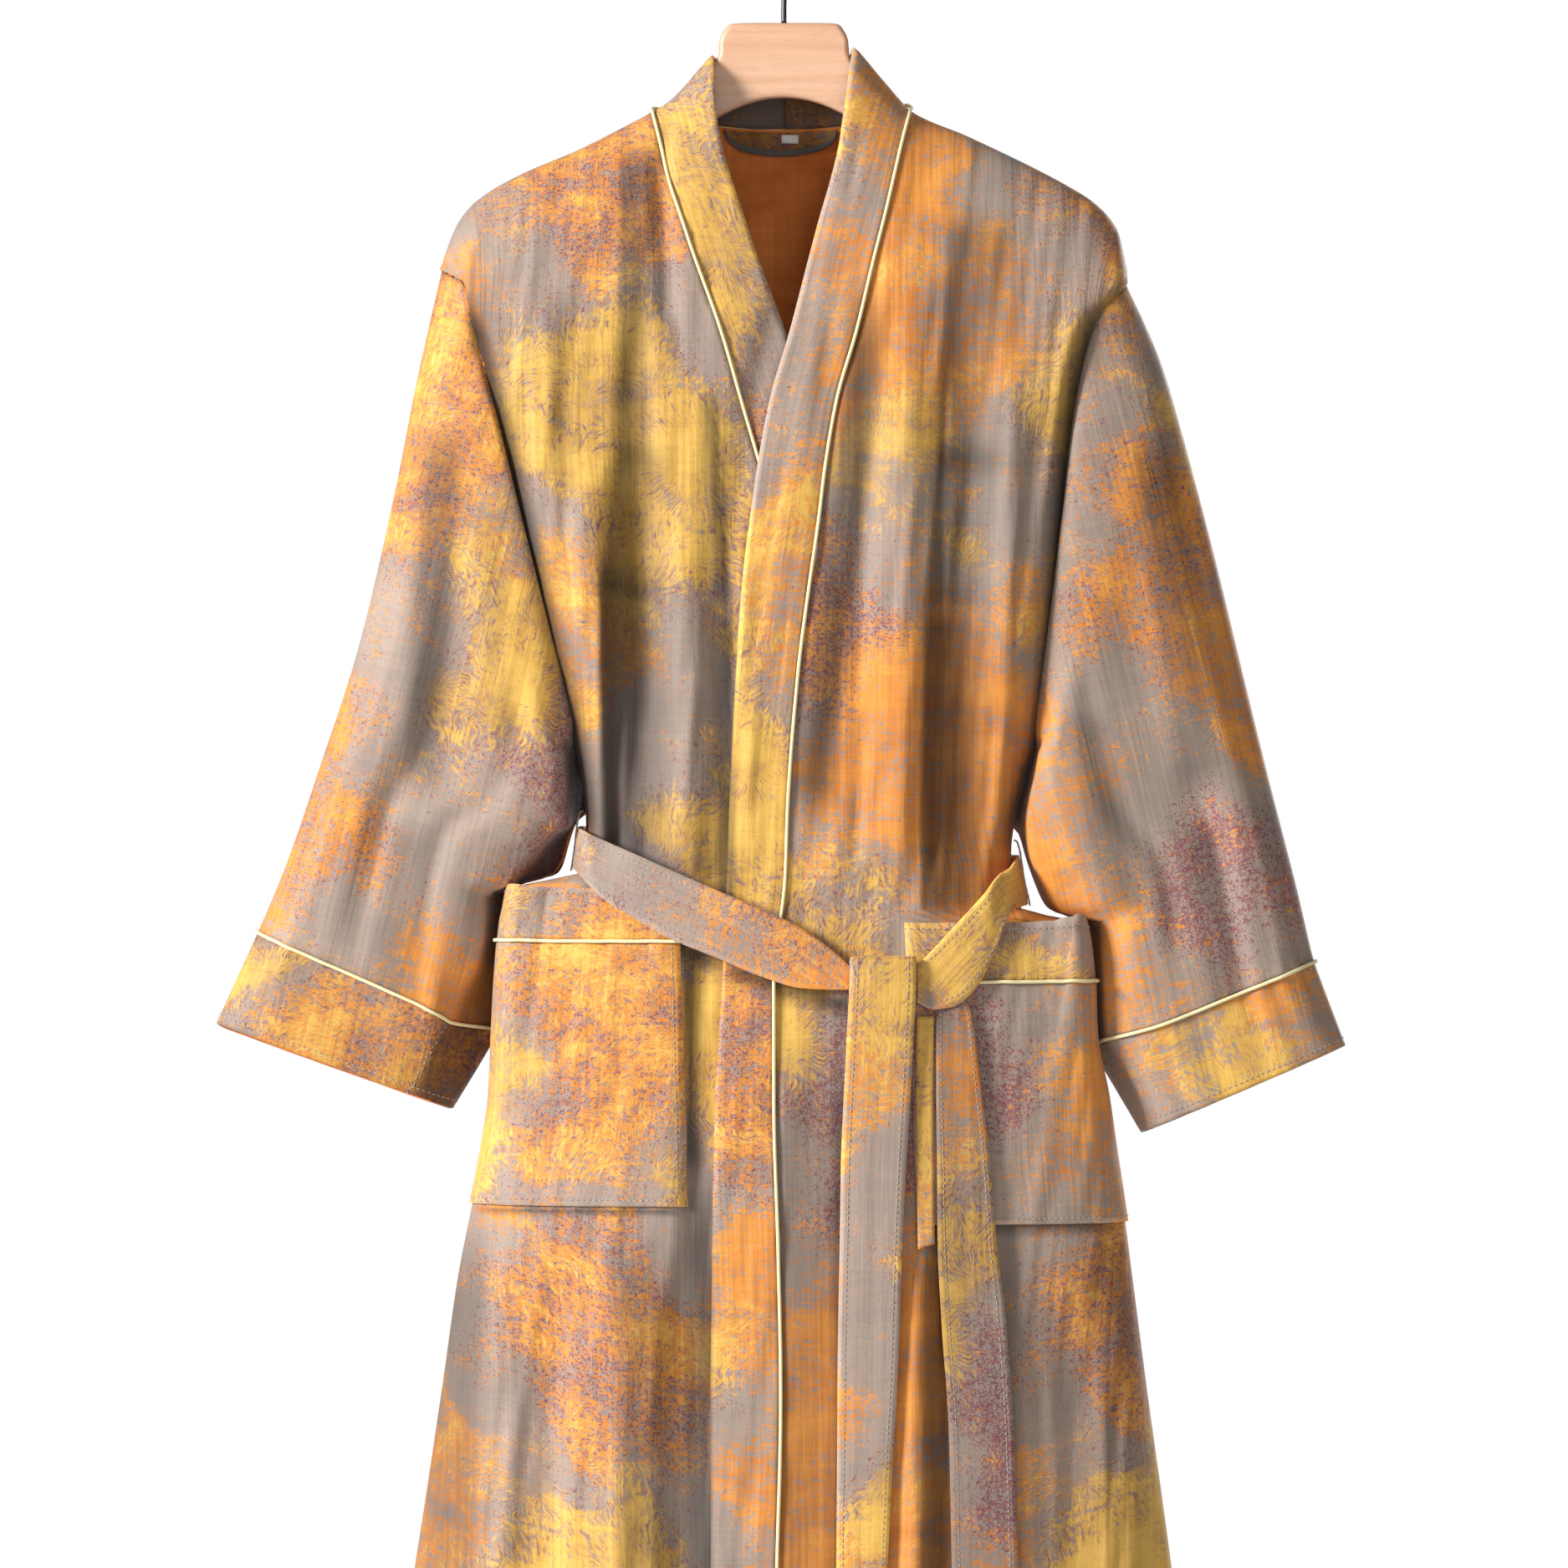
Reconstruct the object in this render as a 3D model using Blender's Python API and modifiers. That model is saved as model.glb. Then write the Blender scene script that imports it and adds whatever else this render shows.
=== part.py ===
# Kimono bathrobe with a band collar, patch pockets and a tied belt, hanging on a wooden hanger.
#
# Sizes are in millimetres. The origin is the point inside the hook where a rail holds it, +Z is up,
# the front of the robe faces -Y and the wearer's left is +X. "down" is a distance below the origin.
# Each cloth piece is an open sheet of named rows and columns with a Solidify wall.
import math

import bpy
import numpy as np

MM = 0.001

# Cloth and trim
CLOTH = 1.6
DOUBLED = 2.4
COLLAR_WALL = 2.6
FACING_WALL = 1.0
LABEL_WALL = 1.0
SEAM = 0.3
PIPING = 2.6
PIPING_LIFT = 0.25
BACK_NECK_ROWS = 6
BACK_NECK_LIFT = 0.9
LAP_DEPTH = 7.6
LAP_SLOPE = 26.0
LAP_LEAD = 34.0

# Body of the robe
ROUNDNESS = 2.6
DRAPE = 130.0
DRAPE_ROUND = 2.6
LEVEL = 420.0
HEM = 1339.0
ARMPIT = 585.0
FRONT_COLUMNS = 17
SHOULDER_COLUMNS = 7
NECK_COLUMNS = 7
COLLAR_COLUMNS = 2
SEAM_FLAT = 3.0
RIDGE_FLAT = 5.5
RIDGE_DROP = 0.6
RIDGE_GAP = 0.25
NECK_SEAM_GAP = 0.8
BACK_NECK_STEP = 4.0

# Sleeves
SLEEVE_ROUND = 0.85
SLEEVE_STEPS = 12
SLEEVE_GAP = 0.9
ARMHOLE_TUCK = 0.6
ARMHOLE_DROP = 0.8
CUFF_GAP = 0.8

# Pockets and belt
POCKET_CLEAR = 0.8
GAPE_WIDTH = 0.16
BELT_WALL = 2.2

# Hanger
WOOD_THICK = 15.0
WOOD_EDGE = 4.0
WOOD_CLEAR = 1.6
HOOK_ROD = 4.0
HOOK_BEND = 21.0


def table(columns, *rows):
    """Rows of numbers under named columns."""
    return {name: np.array([row[i] for row in rows], float) for i, name in enumerate(columns.split())}


# Side lines of the body seen from the front: armholes down to the armpit, then the side seams
SIDES = table(
    "down right left",
    (235, -248, 249),
    (252, -246, 248),
    (262, -230, 246),
    (285, -224, 226),
    (320, -215, 214),
    (370, -202, 205),
    (430, -188, 199),
    (478, -177, 195),
    (530, -165, 190),
    (585, -152, 184),
    (620, -145, 173),
    (650, -142, 165),
    (670, -144, 163),
    (686, -148, 165),
    (694, -196, 167),
    (711, -200, 171),
    (720, -202, 215),
    (763, -206, 221),
    (802, -208, 223),
    (844, -210, 231),
    (884, -216, 237),
    (929, -225, 244),
    (975, -234, 250),
    (1052, -245, 260),
    (1183, -265, 278),
    (1339, -292, 296),
)
# How far front and back stand from the plane of the hanger, and how deep the armhole is on each side
DEPTHS = table(
    "down front back edge",
    (70, 26, 24, 20),
    (130, 32, 30, 24),
    (170, 37, 35, 30),
    (220, 43, 39, 38),
    (300, 48, 43, 44),
    (370, 52, 46, 46),
    (430, 55, 48, 44),
    (500, 56, 49, 36),
    (550, 54, 48, 22),
    (585, 51, 47, 0),
    (650, 44, 42, 0),
    (690, 42, 41, 0),
    (730, 47, 45, 0),
    (850, 57, 52, 0),
    (1000, 66, 60, 0),
    (1183, 74, 68, 0),
    (1339, 80, 74, 0),
)
# Top line of the cloth over the hanger: shoulders, then the collar lying on the hanger's neck
RIDGE = table(
    "across down",
    (-249, 262),
    (-246, 250),
    (-233, 217),
    (-220, 202),
    (-190, 184),
    (-148, 166),
    (-95, 139),
    (-85, 134),
    (-51, 97),
    (-38, 80),
    (0, 74),
    (38, 80),
    (50, 92),
    (71, 117),
    (91, 138),
    (134, 157),
    (206, 193),
    (224, 205),
    (239, 223),
    (247, 255),
    (250, 262),
)
# The collar's seam on the panel and its free edge, for the right (under) and left (over) fronts
COLLAR_LINES = table(
    "down seam_right free_right seam_left free_left",
    (90, -47, -52, 49, 49),
    (138, -95, -48.5, 91, 43),
    (144, -93.5, -48, 89.5, 42),
    (165, -88, -44, 84, 39),
    (190, -82, -37, 78, 33),
    (214, -74, -29, 72.5, 26),
    (244, -64, -19, 65, 18),
    (298, -45, 1, 52, 4),
    (346, -31, 17, 38, -10),
    (394, -17, 31, 29.5, -19),
    (430, -6, 41, 25, -24),
    (480, 5, 50, 18, -30),
    (540, 11, 56, 10.5, -34),
    (634, 15, 61, 3, -39),
    (690, 16, 62, 1, -41),
    (763, 16, 63, -7, -44),
    (844, 15, 63, -7, -49),
    (950, 15, 63, -4, -51),
    (1058, 15, 63, -2, -52),
    (1183, 15, 63, -5, -52),
    (1339, 15, 63, -8, -53),
)
# Sections of the collar round the neck: seam and free edge down the front, up to the hanger's neck
NECK_SECTIONS = table(
    "seam free",
    (144, 107),
    (155, 123),
    (175, 149),
    (206, 191),
    (245, 242),
    (296, 296),
    (420, 420),
)
# Folds: a ridge (height over 0) or a trough along a line from its top to its bottom
FOLDS = {
    "front": table(
        "x_top top x_end end width height",
        (-91, 150, -84, 300, 7, -4.0),
        (-108, 255, -94, 640, 15, -7.0),
        (-140, 360, -134, 694, 17, 7.0),
        (-106, 380, -102, 694, 18, -7.0),
        (-72, 430, -66, 700, 14, 4.0),
        (-172, 250, -150, 560, 16, 4.0),
        (36, 270, 26, 480, 9, -3.0),
        (86, 190, 78, 700, 20, 6.0),
        (134, 230, 122, 700, 16, -7.0),
        (168, 300, 152, 690, 12, 4.0),
        (-74, 925, -78, 1400, 12, -7.0),
        (-108, 925, -128, 1400, 19, 6.0),
        (-160, 930, -176, 1400, 18, -7.0),
        (-206, 950, -222, 1400, 18, 6.0),
        (96, 900, 92, 1400, 12, 7.0),
        (118, 900, 116, 1400, 10, -6.0),
        (160, 950, 158, 1400, 16, 5.0),
        (206, 950, 212, 1400, 20, -6.0),
        (250, 960, 252, 1400, 16, 4.0),
    ),
    "back": table(
        "x_top top x_end end width height",
        (-150, 240, -104, 690, 18, 6.0),
        (-96, 230, -62, 690, 15, -7.0),
        (-34, 200, -22, 690, 17, 5.0),
        (22, 240, 22, 690, 13, -6.0),
        (84, 220, 66, 690, 17, 6.0),
        (142, 240, 104, 690, 18, -7.0),
        (-92, 715, -190, 1400, 22, 8.0),
        (-48, 715, -118, 1400, 22, -8.0),
        (-14, 715, -40, 1400, 20, 7.0),
        (30, 715, 44, 1400, 20, -8.0),
        (72, 715, 120, 1400, 22, 7.0),
        (112, 715, 196, 1400, 24, -8.0),
    ),
}
# Sleeve sections: outer and inner point in the front view, half depth, and how far back the middle lies
SLEEVES = {
    "right": table(
        "out_x out_down in_x in_down depth back",
        (-262, 325, -151, 628, 44, 0),
        (-281, 420, -150, 655, 41, 1),
        (-306, 525, -163, 677, 37, 2),
        (-332, 605, -202, 684, 33, 3),
        (-356, 675, -212, 740, 30, 4),
        (-377, 727, -217, 797, 28, 4),
    ),
    "left": table(
        "out_x out_down in_x in_down depth back",
        (268, 312, 178, 632, 44, 0),
        (302, 430, 172, 661, 41, 1),
        (329, 540, 186, 692, 37, 2),
        (350, 625, 223, 709, 33, 3),
        (368, 695, 229, 762, 30, 4),
        (380, 748, 233, 808, 28, 4),
    ),
}
CUFF_ENDS = {
    "right": table("out_x out_down in_x in_down depth back", (-407, 792, -238, 853, 27, 4)),
    "left": table("out_x out_down in_x in_down depth back", (403, 808, 256, 871, 27, 4)),
}
# Folds along a sleeve: angle round it from the top over the front, half width in degrees, height
SLEEVE_FOLDS = table(
    "angle width start end height",
    (48, 15, 0.15, 1.3, 5.0),
    (82, 15, 0.10, 0.9, -5.0),
    (118, 16, 0.25, 1.2, 4.5),
    (236, 16, 0.20, 1.2, 4.5),
    (272, 16, 0.10, 1.0, -5.0),
    (312, 16, 0.20, 1.3, 5.0),
)
# Pockets: inner edge at the top and bottom, top edge, line of the piping, bottom edge
POCKETS = {
    "right": dict(side=-1, inner_top=-75, inner_end=-68, top=695, seam=733, end=921, gape_at=0.28, gape=10.5),
    "left": dict(side=1, inner_top=86, inner_end=95, top=720, seam=762, end=934, gape_at=0.27, gape=10.5),
}
POCKET_START = 0.6
# Belt from inside the knot round the wearer's right side, the back and the left side to the knot
BELT_RIGHT = table(
    "x top end clear",
    (54, 753, 766, 5.8),
    (46, 749, 767, 5.6),
    (38, 742, 767, 5.4),
    (14, 724, 766, 5.4),
    (-18, 709, 757, 5.4),
    (-46, 697, 745, 5.4),
    (-78, 683, 732, 5.4),
    (-105, 671, 717, 5.4),
    (-128, 661, 703, 5.2),
    (-141, 655, 691, 5.4),
)
BELT_ROUND_RIGHT = table(
    "angle face top end clear",
    (-84, -1, 652, 682, 4.0),
    (-90, 1, 651, 683, 2.4),
    (-82, 1, 651, 684, 2.4),
)
BELT_BACK = table(
    "x top end clear",
    (-132, 651, 687, 2.6),
    (-118, 652, 691, 2.6),
    (-95, 654, 696, 2.6),
    (-50, 657, 700, 2.6),
    (0, 660, 704, 2.6),
    (50, 664, 708, 2.6),
    (100, 668, 711, 2.6),
    (130, 670, 712, 2.6),
    (148, 671, 710, 2.6),
)
BELT_ROUND_LEFT = table(
    "angle face top end clear",
    (80, 1, 672, 709, 3.6),
    (90, 1, 672, 708, 3.4),
    (84, -1, 674, 709, 2.8),
)
BELT_LEFT = table(
    "x top end clear",
    (164, 679, 710, 4.2),
    (157, 683, 722, 6.0),
    (146, 695, 750, 6.0),
    (134, 708, 769, 6.4),
    (120, 723, 779, 6.6),
    (106, 738, 781, 6.4),
    (94.5, 750, 776, 6.2),
)
# The bar of the knot: how far it reaches across, its top and bottom, and how far it stands off the robe
KNOT = table(
    "x top end near far",
    (57, 753, 766, 6.6, 9.0),
    (60, 751, 769, 5.8, 10.2),
    (68, 750, 771, 5.6, 10.6),
    (80, 750, 771, 5.6, 10.6),
    (89, 751, 770, 5.8, 10.2),
    (92.5, 754, 767, 6.6, 9.0),
)
# Hanging ends: left and right edge of each seen from the front, and the distance from the robe
TAIL_INSIDE = table(
    "down left right clear",
    (758, 48, 84, 2.8),
    (750, 47.5, 86, 2.8),
    (745.5, 47, 92, 5.0),
    (743.5, 47, 93.5, 9.0),
)
TAIL_MAIN = table(
    "down left right clear",
    (746, 46.5, 94, 12.8),
    (756, 46.5, 94, 14.0),
    (772, 46, 93.5, 13.4),
    (800, 44.5, 92, 9.6),
    (840, 42.5, 90, 7.2),
    (886, 40.5, 87, 6.6),
    (946, 39.5, 84, 7.2),
    (1031, 38, 81, 4.2),
    (1110, 37.5, 76.5, 3.0),
    (1183, 37, 73, 3.6),
    (1262, 36.5, 69, 2.4),
)
TAIL_SECOND = table(
    "down left right clear",
    (768, 110, 127, 2.9),
    (787, 108, 134, 2.9),
    (832, 108, 139.5, 3.0),
    (886, 108.5, 146, 3.4),
    (946, 109, 151, 2.9),
    (1007, 112, 158, 2.4),
    (1082, 117, 163, 1.6),
    (1183, 119, 166, 2.6),
    (1275, 121, 168, 1.4),
)
INNER_TIE = table(
    "down left right clear",
    (786, 94.5, 106.5, 2.2),
    (840, 93.5, 106.0, 1.7),
    (900, 94.0, 106.5, 1.6),
    (949, 95.0, 107.0, 1.7),
)
TIE_SLANT = 4.0

# Thread loops at the side seams, over the belt
LOOPS = {
    "right": table(
        "down out",
        (640, 1.5),
        (641, 3.6),
        (647, 6.0),
        (666, 6.8),
        (678, 6.8),
        (683, 6.8),
    ),
    "left": table(
        "down out",
        (661, 1.5),
        (662, 3.6),
        (668, 6.0),
        (690, 6.8),
        (703, 7.0),
        (708, 7.4),
    ),
}
THREAD = 1.4
LOOP_LEVEL = {"right": 682.0, "left": 706.0}
# Inside the back neck
FACING_X = (-43.0, 38.0)
FACING_LOW = 167.0
FACING_CLEAR = 1.6
BINDING_WIDE = 4.0
LABEL_X = -2.0
LABEL_DOWN = 152.0
LABEL_SIZE = (12.0, 6.0)
ARCH_TOP = 128.4

PALETTE = {
    "jacquard": ((0.42, 0.25, 0.13), 0.75, 0.0),
    "piping_cotton": ((0.83, 0.76, 0.50), 0.7, 0.0),
    "binding_tape": ((0.30, 0.27, 0.25), 0.8, 0.0),
    "label_satin": ((0.85, 0.85, 0.84), 0.5, 0.0),
    "thread": ((0.55, 0.50, 0.45), 0.8, 0.0),
    "beech": ((0.75, 0.50, 0.33), 0.5, 0.0),
    "steel": ((0.25, 0.24, 0.23), 0.3, 1.0),
}


def smooth_read(keys, values, at):
    """Monotone cubic interpolation, level at its turning points so that nothing overshoots."""
    at = np.clip(np.asarray(at, float), keys[0], keys[-1])
    step = np.diff(keys)
    slope = np.diff(values) / step
    tangent = np.zeros(len(keys))
    same = slope[:-1] * slope[1:] > 0
    tangent[1:-1][same] = 2 * slope[:-1][same] * slope[1:][same] / (slope[:-1] + slope[1:])[same]
    tangent[0], tangent[-1] = slope[0], slope[-1]
    i = np.clip(np.searchsorted(keys, at) - 1, 0, len(step) - 1)
    u = (at - keys[i]) / step[i]
    h00 = 2 * u**3 - 3 * u**2 + 1
    h10 = u**3 - 2 * u**2 + u
    low, high = values[i], values[i + 1]
    return h00 * low + h10 * step[i] * tangent[i] + (1 - h00) * high + (u**3 - u**2) * step[i] * tangent[i + 1]


def read(tab, column, at, key="down"):
    return smooth_read(tab[key], tab[column], at)


def ease(u):
    u = np.clip(u, 0, 1)
    return u * u * (3 - 2 * u)


def power(value, exponent):
    """A signed power, for superellipses."""
    return np.sign(value) * np.abs(value) ** exponent


def folds(face, x, down):
    """Height of the folds of the front or the back, each one fading out at its ends."""
    height = np.zeros(np.broadcast(x, down).shape)
    tab = FOLDS[face]
    for x0, top, x1, end, width, rise in zip(*(tab[c] for c in "x_top top x_end end width height".split())):
        along = (down - top) / (end - top)
        middle = x0 + (x1 - x0) * np.clip(along, 0, 1)
        window = ease(along / 0.22) * ease((1 - along) / 0.12)
        height = height + rise * window * np.exp(-(((x - middle) / width) ** 2))
    return height


def hanging(x, down):
    """How much of its full depth the cloth has reached below the shoulder line."""
    drop = np.clip((down - read(RIDGE, "down", x, "across")) / DRAPE, 0, 1)
    return (1 - (1 - drop) ** DRAPE_ROUND) ** (1 / DRAPE_ROUND)


def body_base(face, angle, down):
    """A point of the robe's outer form: angle -90 is the right side seam, 90 the left one."""
    turn = np.radians(angle)
    right, left = read(SIDES, "right", down), read(SIDES, "left", down)
    x = (left + right) / 2 + (left - right) / 2 * power(np.sin(turn), 2 / ROUNDNESS)
    full, edge = read(DEPTHS, face, down), read(DEPTHS, "edge", down)
    bulge = power(np.cos(turn), 2 / ROUNDNESS)
    fade = ease(np.cos(turn) / 0.35)
    depth = (edge + (full - edge) * bulge) * hanging(x, down) + folds(face, x, down) * fade
    sign = -1.0 if face == "front" else 1.0
    return np.stack(np.broadcast_arrays(x, sign * depth, -np.asarray(down, float)), axis=-1)


def body(face, angle, down, out=0.0):
    """The same point moved out along the surface's normal."""
    angle, down, out = np.broadcast_arrays(np.asarray(angle, float), np.asarray(down, float), out)
    point = body_base(face, angle, down)
    across = body_base(face, angle + 0.5, down) - body_base(face, angle - 0.5, down)
    below = body_base(face, angle, down + 0.8) - body_base(face, angle, down - 0.8)
    normal = np.cross(below, across) * (1.0 if face == "front" else -1.0)
    normal /= np.maximum(np.linalg.norm(normal, axis=-1, keepdims=True), 1e-9)
    return point + normal * out[..., None]


def angle_of(x, down):
    right, left = read(SIDES, "right", down), read(SIDES, "left", down)
    share = np.clip((x - (left + right) / 2) / ((left - right) / 2), -1, 1)
    return np.degrees(np.arcsin(power(share, ROUNDNESS / 2)))


def lap(x, down):
    """How far in the right front goes where the left one lies over it."""
    edge = read(COLLAR_LINES, "free_left", down)
    return LAP_DEPTH * ease((x - edge + LAP_LEAD) / LAP_SLOPE) * ease((np.asarray(down) - 235) / 50)


# The rows of the panels: shares of the way from the shoulder to LEVEL, then distances below the origin
TOP_SHARES = np.array([0, 0, 0.02, 0.06, 0.13, 0.24, 0.38, 0.56, 0.76, 1.0])
ROWS_TO_ARMPIT = np.array([465, 510, 550, ARMPIT])
ROWS_BELOW = np.array([625, 660, 686, 694, 711, 720, 750, 800, 860, 934, 1010, 1090, 1170, 1255, HEM])
ROWS = np.concatenate([ROWS_TO_ARMPIT, ROWS_BELOW])
SHOULDER_DOWN = {"right": 250.0, "left": 262.0}
SIDE_X = {"right": -1.0, "left": 1.0}
NECK_POINT = {"right": 138.5, "left": 138.0}
NECK_X = {"right": -95.0, "left": 91.0}


def side_rows(side):
    """Distances below the origin of the armhole edge and side seam, one for each row."""
    top = SHOULDER_DOWN[side]
    return np.concatenate([top + (LEVEL - top) * TOP_SHARES, ROWS])


def seam_rows(side):
    top = NECK_POINT[side]
    return np.concatenate([top + (LEVEL - top) * TOP_SHARES, ROWS])


def seam_flat(points, face, side_column, step):
    """Keeps the first strip beside a seam square to it, so that the two walls butt."""
    sign = -1.0 if face == "front" else 1.0
    armpit = len(TOP_SHARES) + len(ROWS_TO_ARMPIT) - 1
    points[armpit:, side_column, 1] = sign * SEAM / 2
    beside = side_column + step
    points[armpit + 1 :, beside, 0] = points[armpit + 1 :, side_column, 0]
    points[armpit + 1 :, beside, 2] = points[armpit + 1 :, side_column, 2]


def front_grid(side):
    """The front panel of one side, from its side seam to the collar's seam."""
    shares = np.linspace(0, 1, FRONT_COLUMNS + 1)
    spread = 1 - np.cos(shares * math.pi / 2 * 0.96) ** (2 / ROUNDNESS)
    spread /= spread[-1]
    seam_down = seam_rows(side)
    side_down = side_rows(side)
    side_x = read(SIDES, side, side_down)
    seam_x = read(COLLAR_LINES, "seam_" + side, seam_down) + SIDE_X[side] * SEAM / 2
    top_x = side_x[0] + (seam_x[0] - side_x[0]) * spread
    top_down = read(RIDGE, "down", top_x, "across")
    top_down[0], top_down[-1] = side_down[0], seam_down[0]
    rows = []
    for j in range(len(side_down)):
        x = side_x[j] + (seam_x[j] - side_x[j]) * spread
        if j < len(TOP_SHARES):
            down = top_down + (LEVEL - top_down) * TOP_SHARES[j]
        else:
            down = np.full(len(x), side_down[j])
        out = -lap(x, down) if side == "right" else np.zeros(len(x))
        points = body("front", angle_of(x, down), down, out)
        if j == 0:
            points = np.stack([x, np.full(len(x), -RIDGE_GAP), -down], axis=-1)
        if j == 1:
            points = np.stack([x, np.full(len(x), -RIDGE_FLAT), -down - RIDGE_DROP], axis=-1)
        rows.append(points)
    points = np.array(rows)
    seam_flat(points, "front", 0, 1)
    return points if side == "right" else points[:, ::-1]


def neck_seam_down(x):
    """The seam of the collar on the back panel."""
    outer = np.where(x < 0, NECK_POINT["right"], NECK_POINT["left"])
    reach = np.where(x < 0, -95.0, 91.0)
    return outer + 11.0 * np.cos(np.clip(x / reach, 0, 1) * math.pi / 2) ** 0.8


def back_neck():
    """The corners of the back panel's neck edge."""
    half = (NECK_X["left"] - NECK_X["right"]) / 2
    x = NECK_X["right"] + half * (1 + np.sin(np.linspace(-1, 1, NECK_COLUMNS + 1) * math.pi / 2))
    return x, neck_seam_down(x)


def back_grid():
    """The back panel, from its left side to its right one so that it faces back."""
    count = 2 * SHOULDER_COLUMNS + NECK_COLUMNS
    low = power(np.sin(np.linspace(-1, 1, count + 1) * math.pi / 2), 2 / ROUNDNESS)
    low = (low + 1) / 2
    width = SIDES_TOP["left"] - SIDES_TOP["right"]
    neck = [(NECK_X[side] - SIDES_TOP["right"]) / width for side in ("right", "left")]
    inward = np.linspace(0, 1, SHOULDER_COLUMNS + 1)[:-1] ** 1.5
    middle = (back_neck()[0] - SIDES_TOP["right"]) / width
    top = np.concatenate([neck[0] * inward, middle, 1 - (1 - neck[1]) * inward[::-1]])
    downs = {side: side_rows(side) for side in SIDE_X}
    top_x = SIDES_TOP["right"] + width * top
    on_neck = (top_x > NECK_X["right"] + 0.5) & (top_x < NECK_X["left"] - 0.5)
    at_point = (np.abs(top_x - NECK_X["right"]) < 0.5) | (np.abs(top_x - NECK_X["left"]) < 0.5)
    top_down = np.where(on_neck, neck_seam_down(top_x), read(RIDGE, "down", top_x, "across"))
    top_down[0], top_down[-1] = downs["right"][0], downs["left"][0]
    rows = []
    for j in range(len(downs["right"])):
        right = read(SIDES, "right", downs["right"][j])
        left = read(SIDES, "left", downs["left"][j])
        if j < len(TOP_SHARES):
            share = TOP_SHARES[j]
            across = top + (low - top) * ease(share)
            down = top_down + (LEVEL - top_down) * share
        else:
            across = low
            down = np.full(len(low), downs["right"][j])
        x = right + (left - right) * across
        points = body("back", angle_of(x, down), down)
        if j < 2:
            flat_y = np.where(at_point, 0.8, RIDGE_GAP) if j == 0 else np.full(len(x), RIDGE_FLAT)
            flat = np.stack([x, flat_y, -down - RIDGE_DROP * j], axis=-1)
            lower = down + 3.0 * j
            points = np.where(on_neck[:, None], body("back", angle_of(x, lower), lower), flat)
        rows.append(points)
    points = np.array(rows)
    seam_flat(points, "back", 0, 1)
    seam_flat(points, "back", count, -1)
    return points[:, ::-1]


SIDES_TOP = {side: float(read(SIDES, side, SHOULDER_DOWN[side])) for side in SIDE_X}


def armhole_loop(side):
    """The sleeve's first section: down the armhole's front edge and up its back edge."""
    down = np.delete(side_rows(side), 1)[: len(TOP_SHARES) + len(ROWS_TO_ARMPIT) - 1]
    x = read(SIDES, side, down)
    end = SIDE_X[side] * 90.0
    front = body("front", np.full(len(down), end), down)
    back = body("back", np.full(len(down), end), down)
    front[0] = back[0] = (x[0], 0.0, -down[0])
    front[-1] = back[-1] = (x[-1], 0.0, -down[-1])
    share = (down - down[0]) / (down[-1] - down[0])
    angle = np.degrees(np.arccos(np.clip(1 - 2 * share, -1, 1)))
    loop = np.concatenate([front, back[-2:0:-1]])
    angles = np.concatenate([angle, 360 - angle[-2:0:-1]])
    loop[:, 0] += SIDE_X[side] * SLEEVE_GAP
    loop[:, 2] -= ARMHOLE_DROP * ease((360 + loop[:, 2]) / 60)
    loop[:, 1] -= np.sign(loop[:, 1]) * ARMHOLE_TUCK
    return loop, angles


def sleeve_section(tab, i, angles):
    turn = np.radians(angles)
    outer = np.array([tab["out_x"][i], tab["back"][i], -tab["out_down"][i]])
    inner = np.array([tab["in_x"][i], tab["back"][i], -tab["in_down"][i]])
    middle, half = (outer + inner) / 2, (outer - inner) / 2
    points = middle + half * power(np.cos(turn), SLEEVE_ROUND)[:, None]
    points[:, 1] -= tab["depth"][i] * power(np.sin(turn), SLEEVE_ROUND)
    return points


def sleeve_folds(angles, along):
    """Height of the folds that run down a sleeve."""
    height = np.zeros(len(angles))
    for middle, width, start, end, rise in zip(*(SLEEVE_FOLDS[c] for c in "angle width start end height".split())):
        window = ease((along - start) / 0.3) * ease((end - along) / 0.2)
        height += rise * window * np.exp(-(((angles - middle) / width) ** 2))
    return height


def sleeve_grid(side):
    """Sections from the armhole to the cuff, with folds pushed out from the sleeve's middle."""
    loop, angles = armhole_loop(side)
    tab = SLEEVES[side]
    count = len(tab["depth"])
    keys = np.array([loop] + [sleeve_section(tab, i, angles) for i in range(count)])
    at = np.linspace(0, count, SLEEVE_STEPS + 1)
    rows = np.empty((len(at),) + loop.shape)
    for p in range(loop.shape[0]):
        for axis in range(3):
            rows[:, p, axis] = smooth_read(np.arange(count + 1.0), keys[:, p, axis], at)
    for j, along in enumerate(at / count):
        push = sleeve_folds(angles, along)
        rows[j, :, 1] -= np.sign(np.sin(np.radians(angles))) * push
    return rows, angles


def cuff_grid(side, rows, angles):
    """The cuff goes on from the sleeve's last section."""
    top = rows[-1]
    end = sleeve_section(CUFF_ENDS[side], 0, angles)
    reach = np.linalg.norm(end - top, axis=-1, keepdims=True)
    return np.array([top + (end - top) * CUFF_GAP / reach, top + (end - top) / 2, end])


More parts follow.
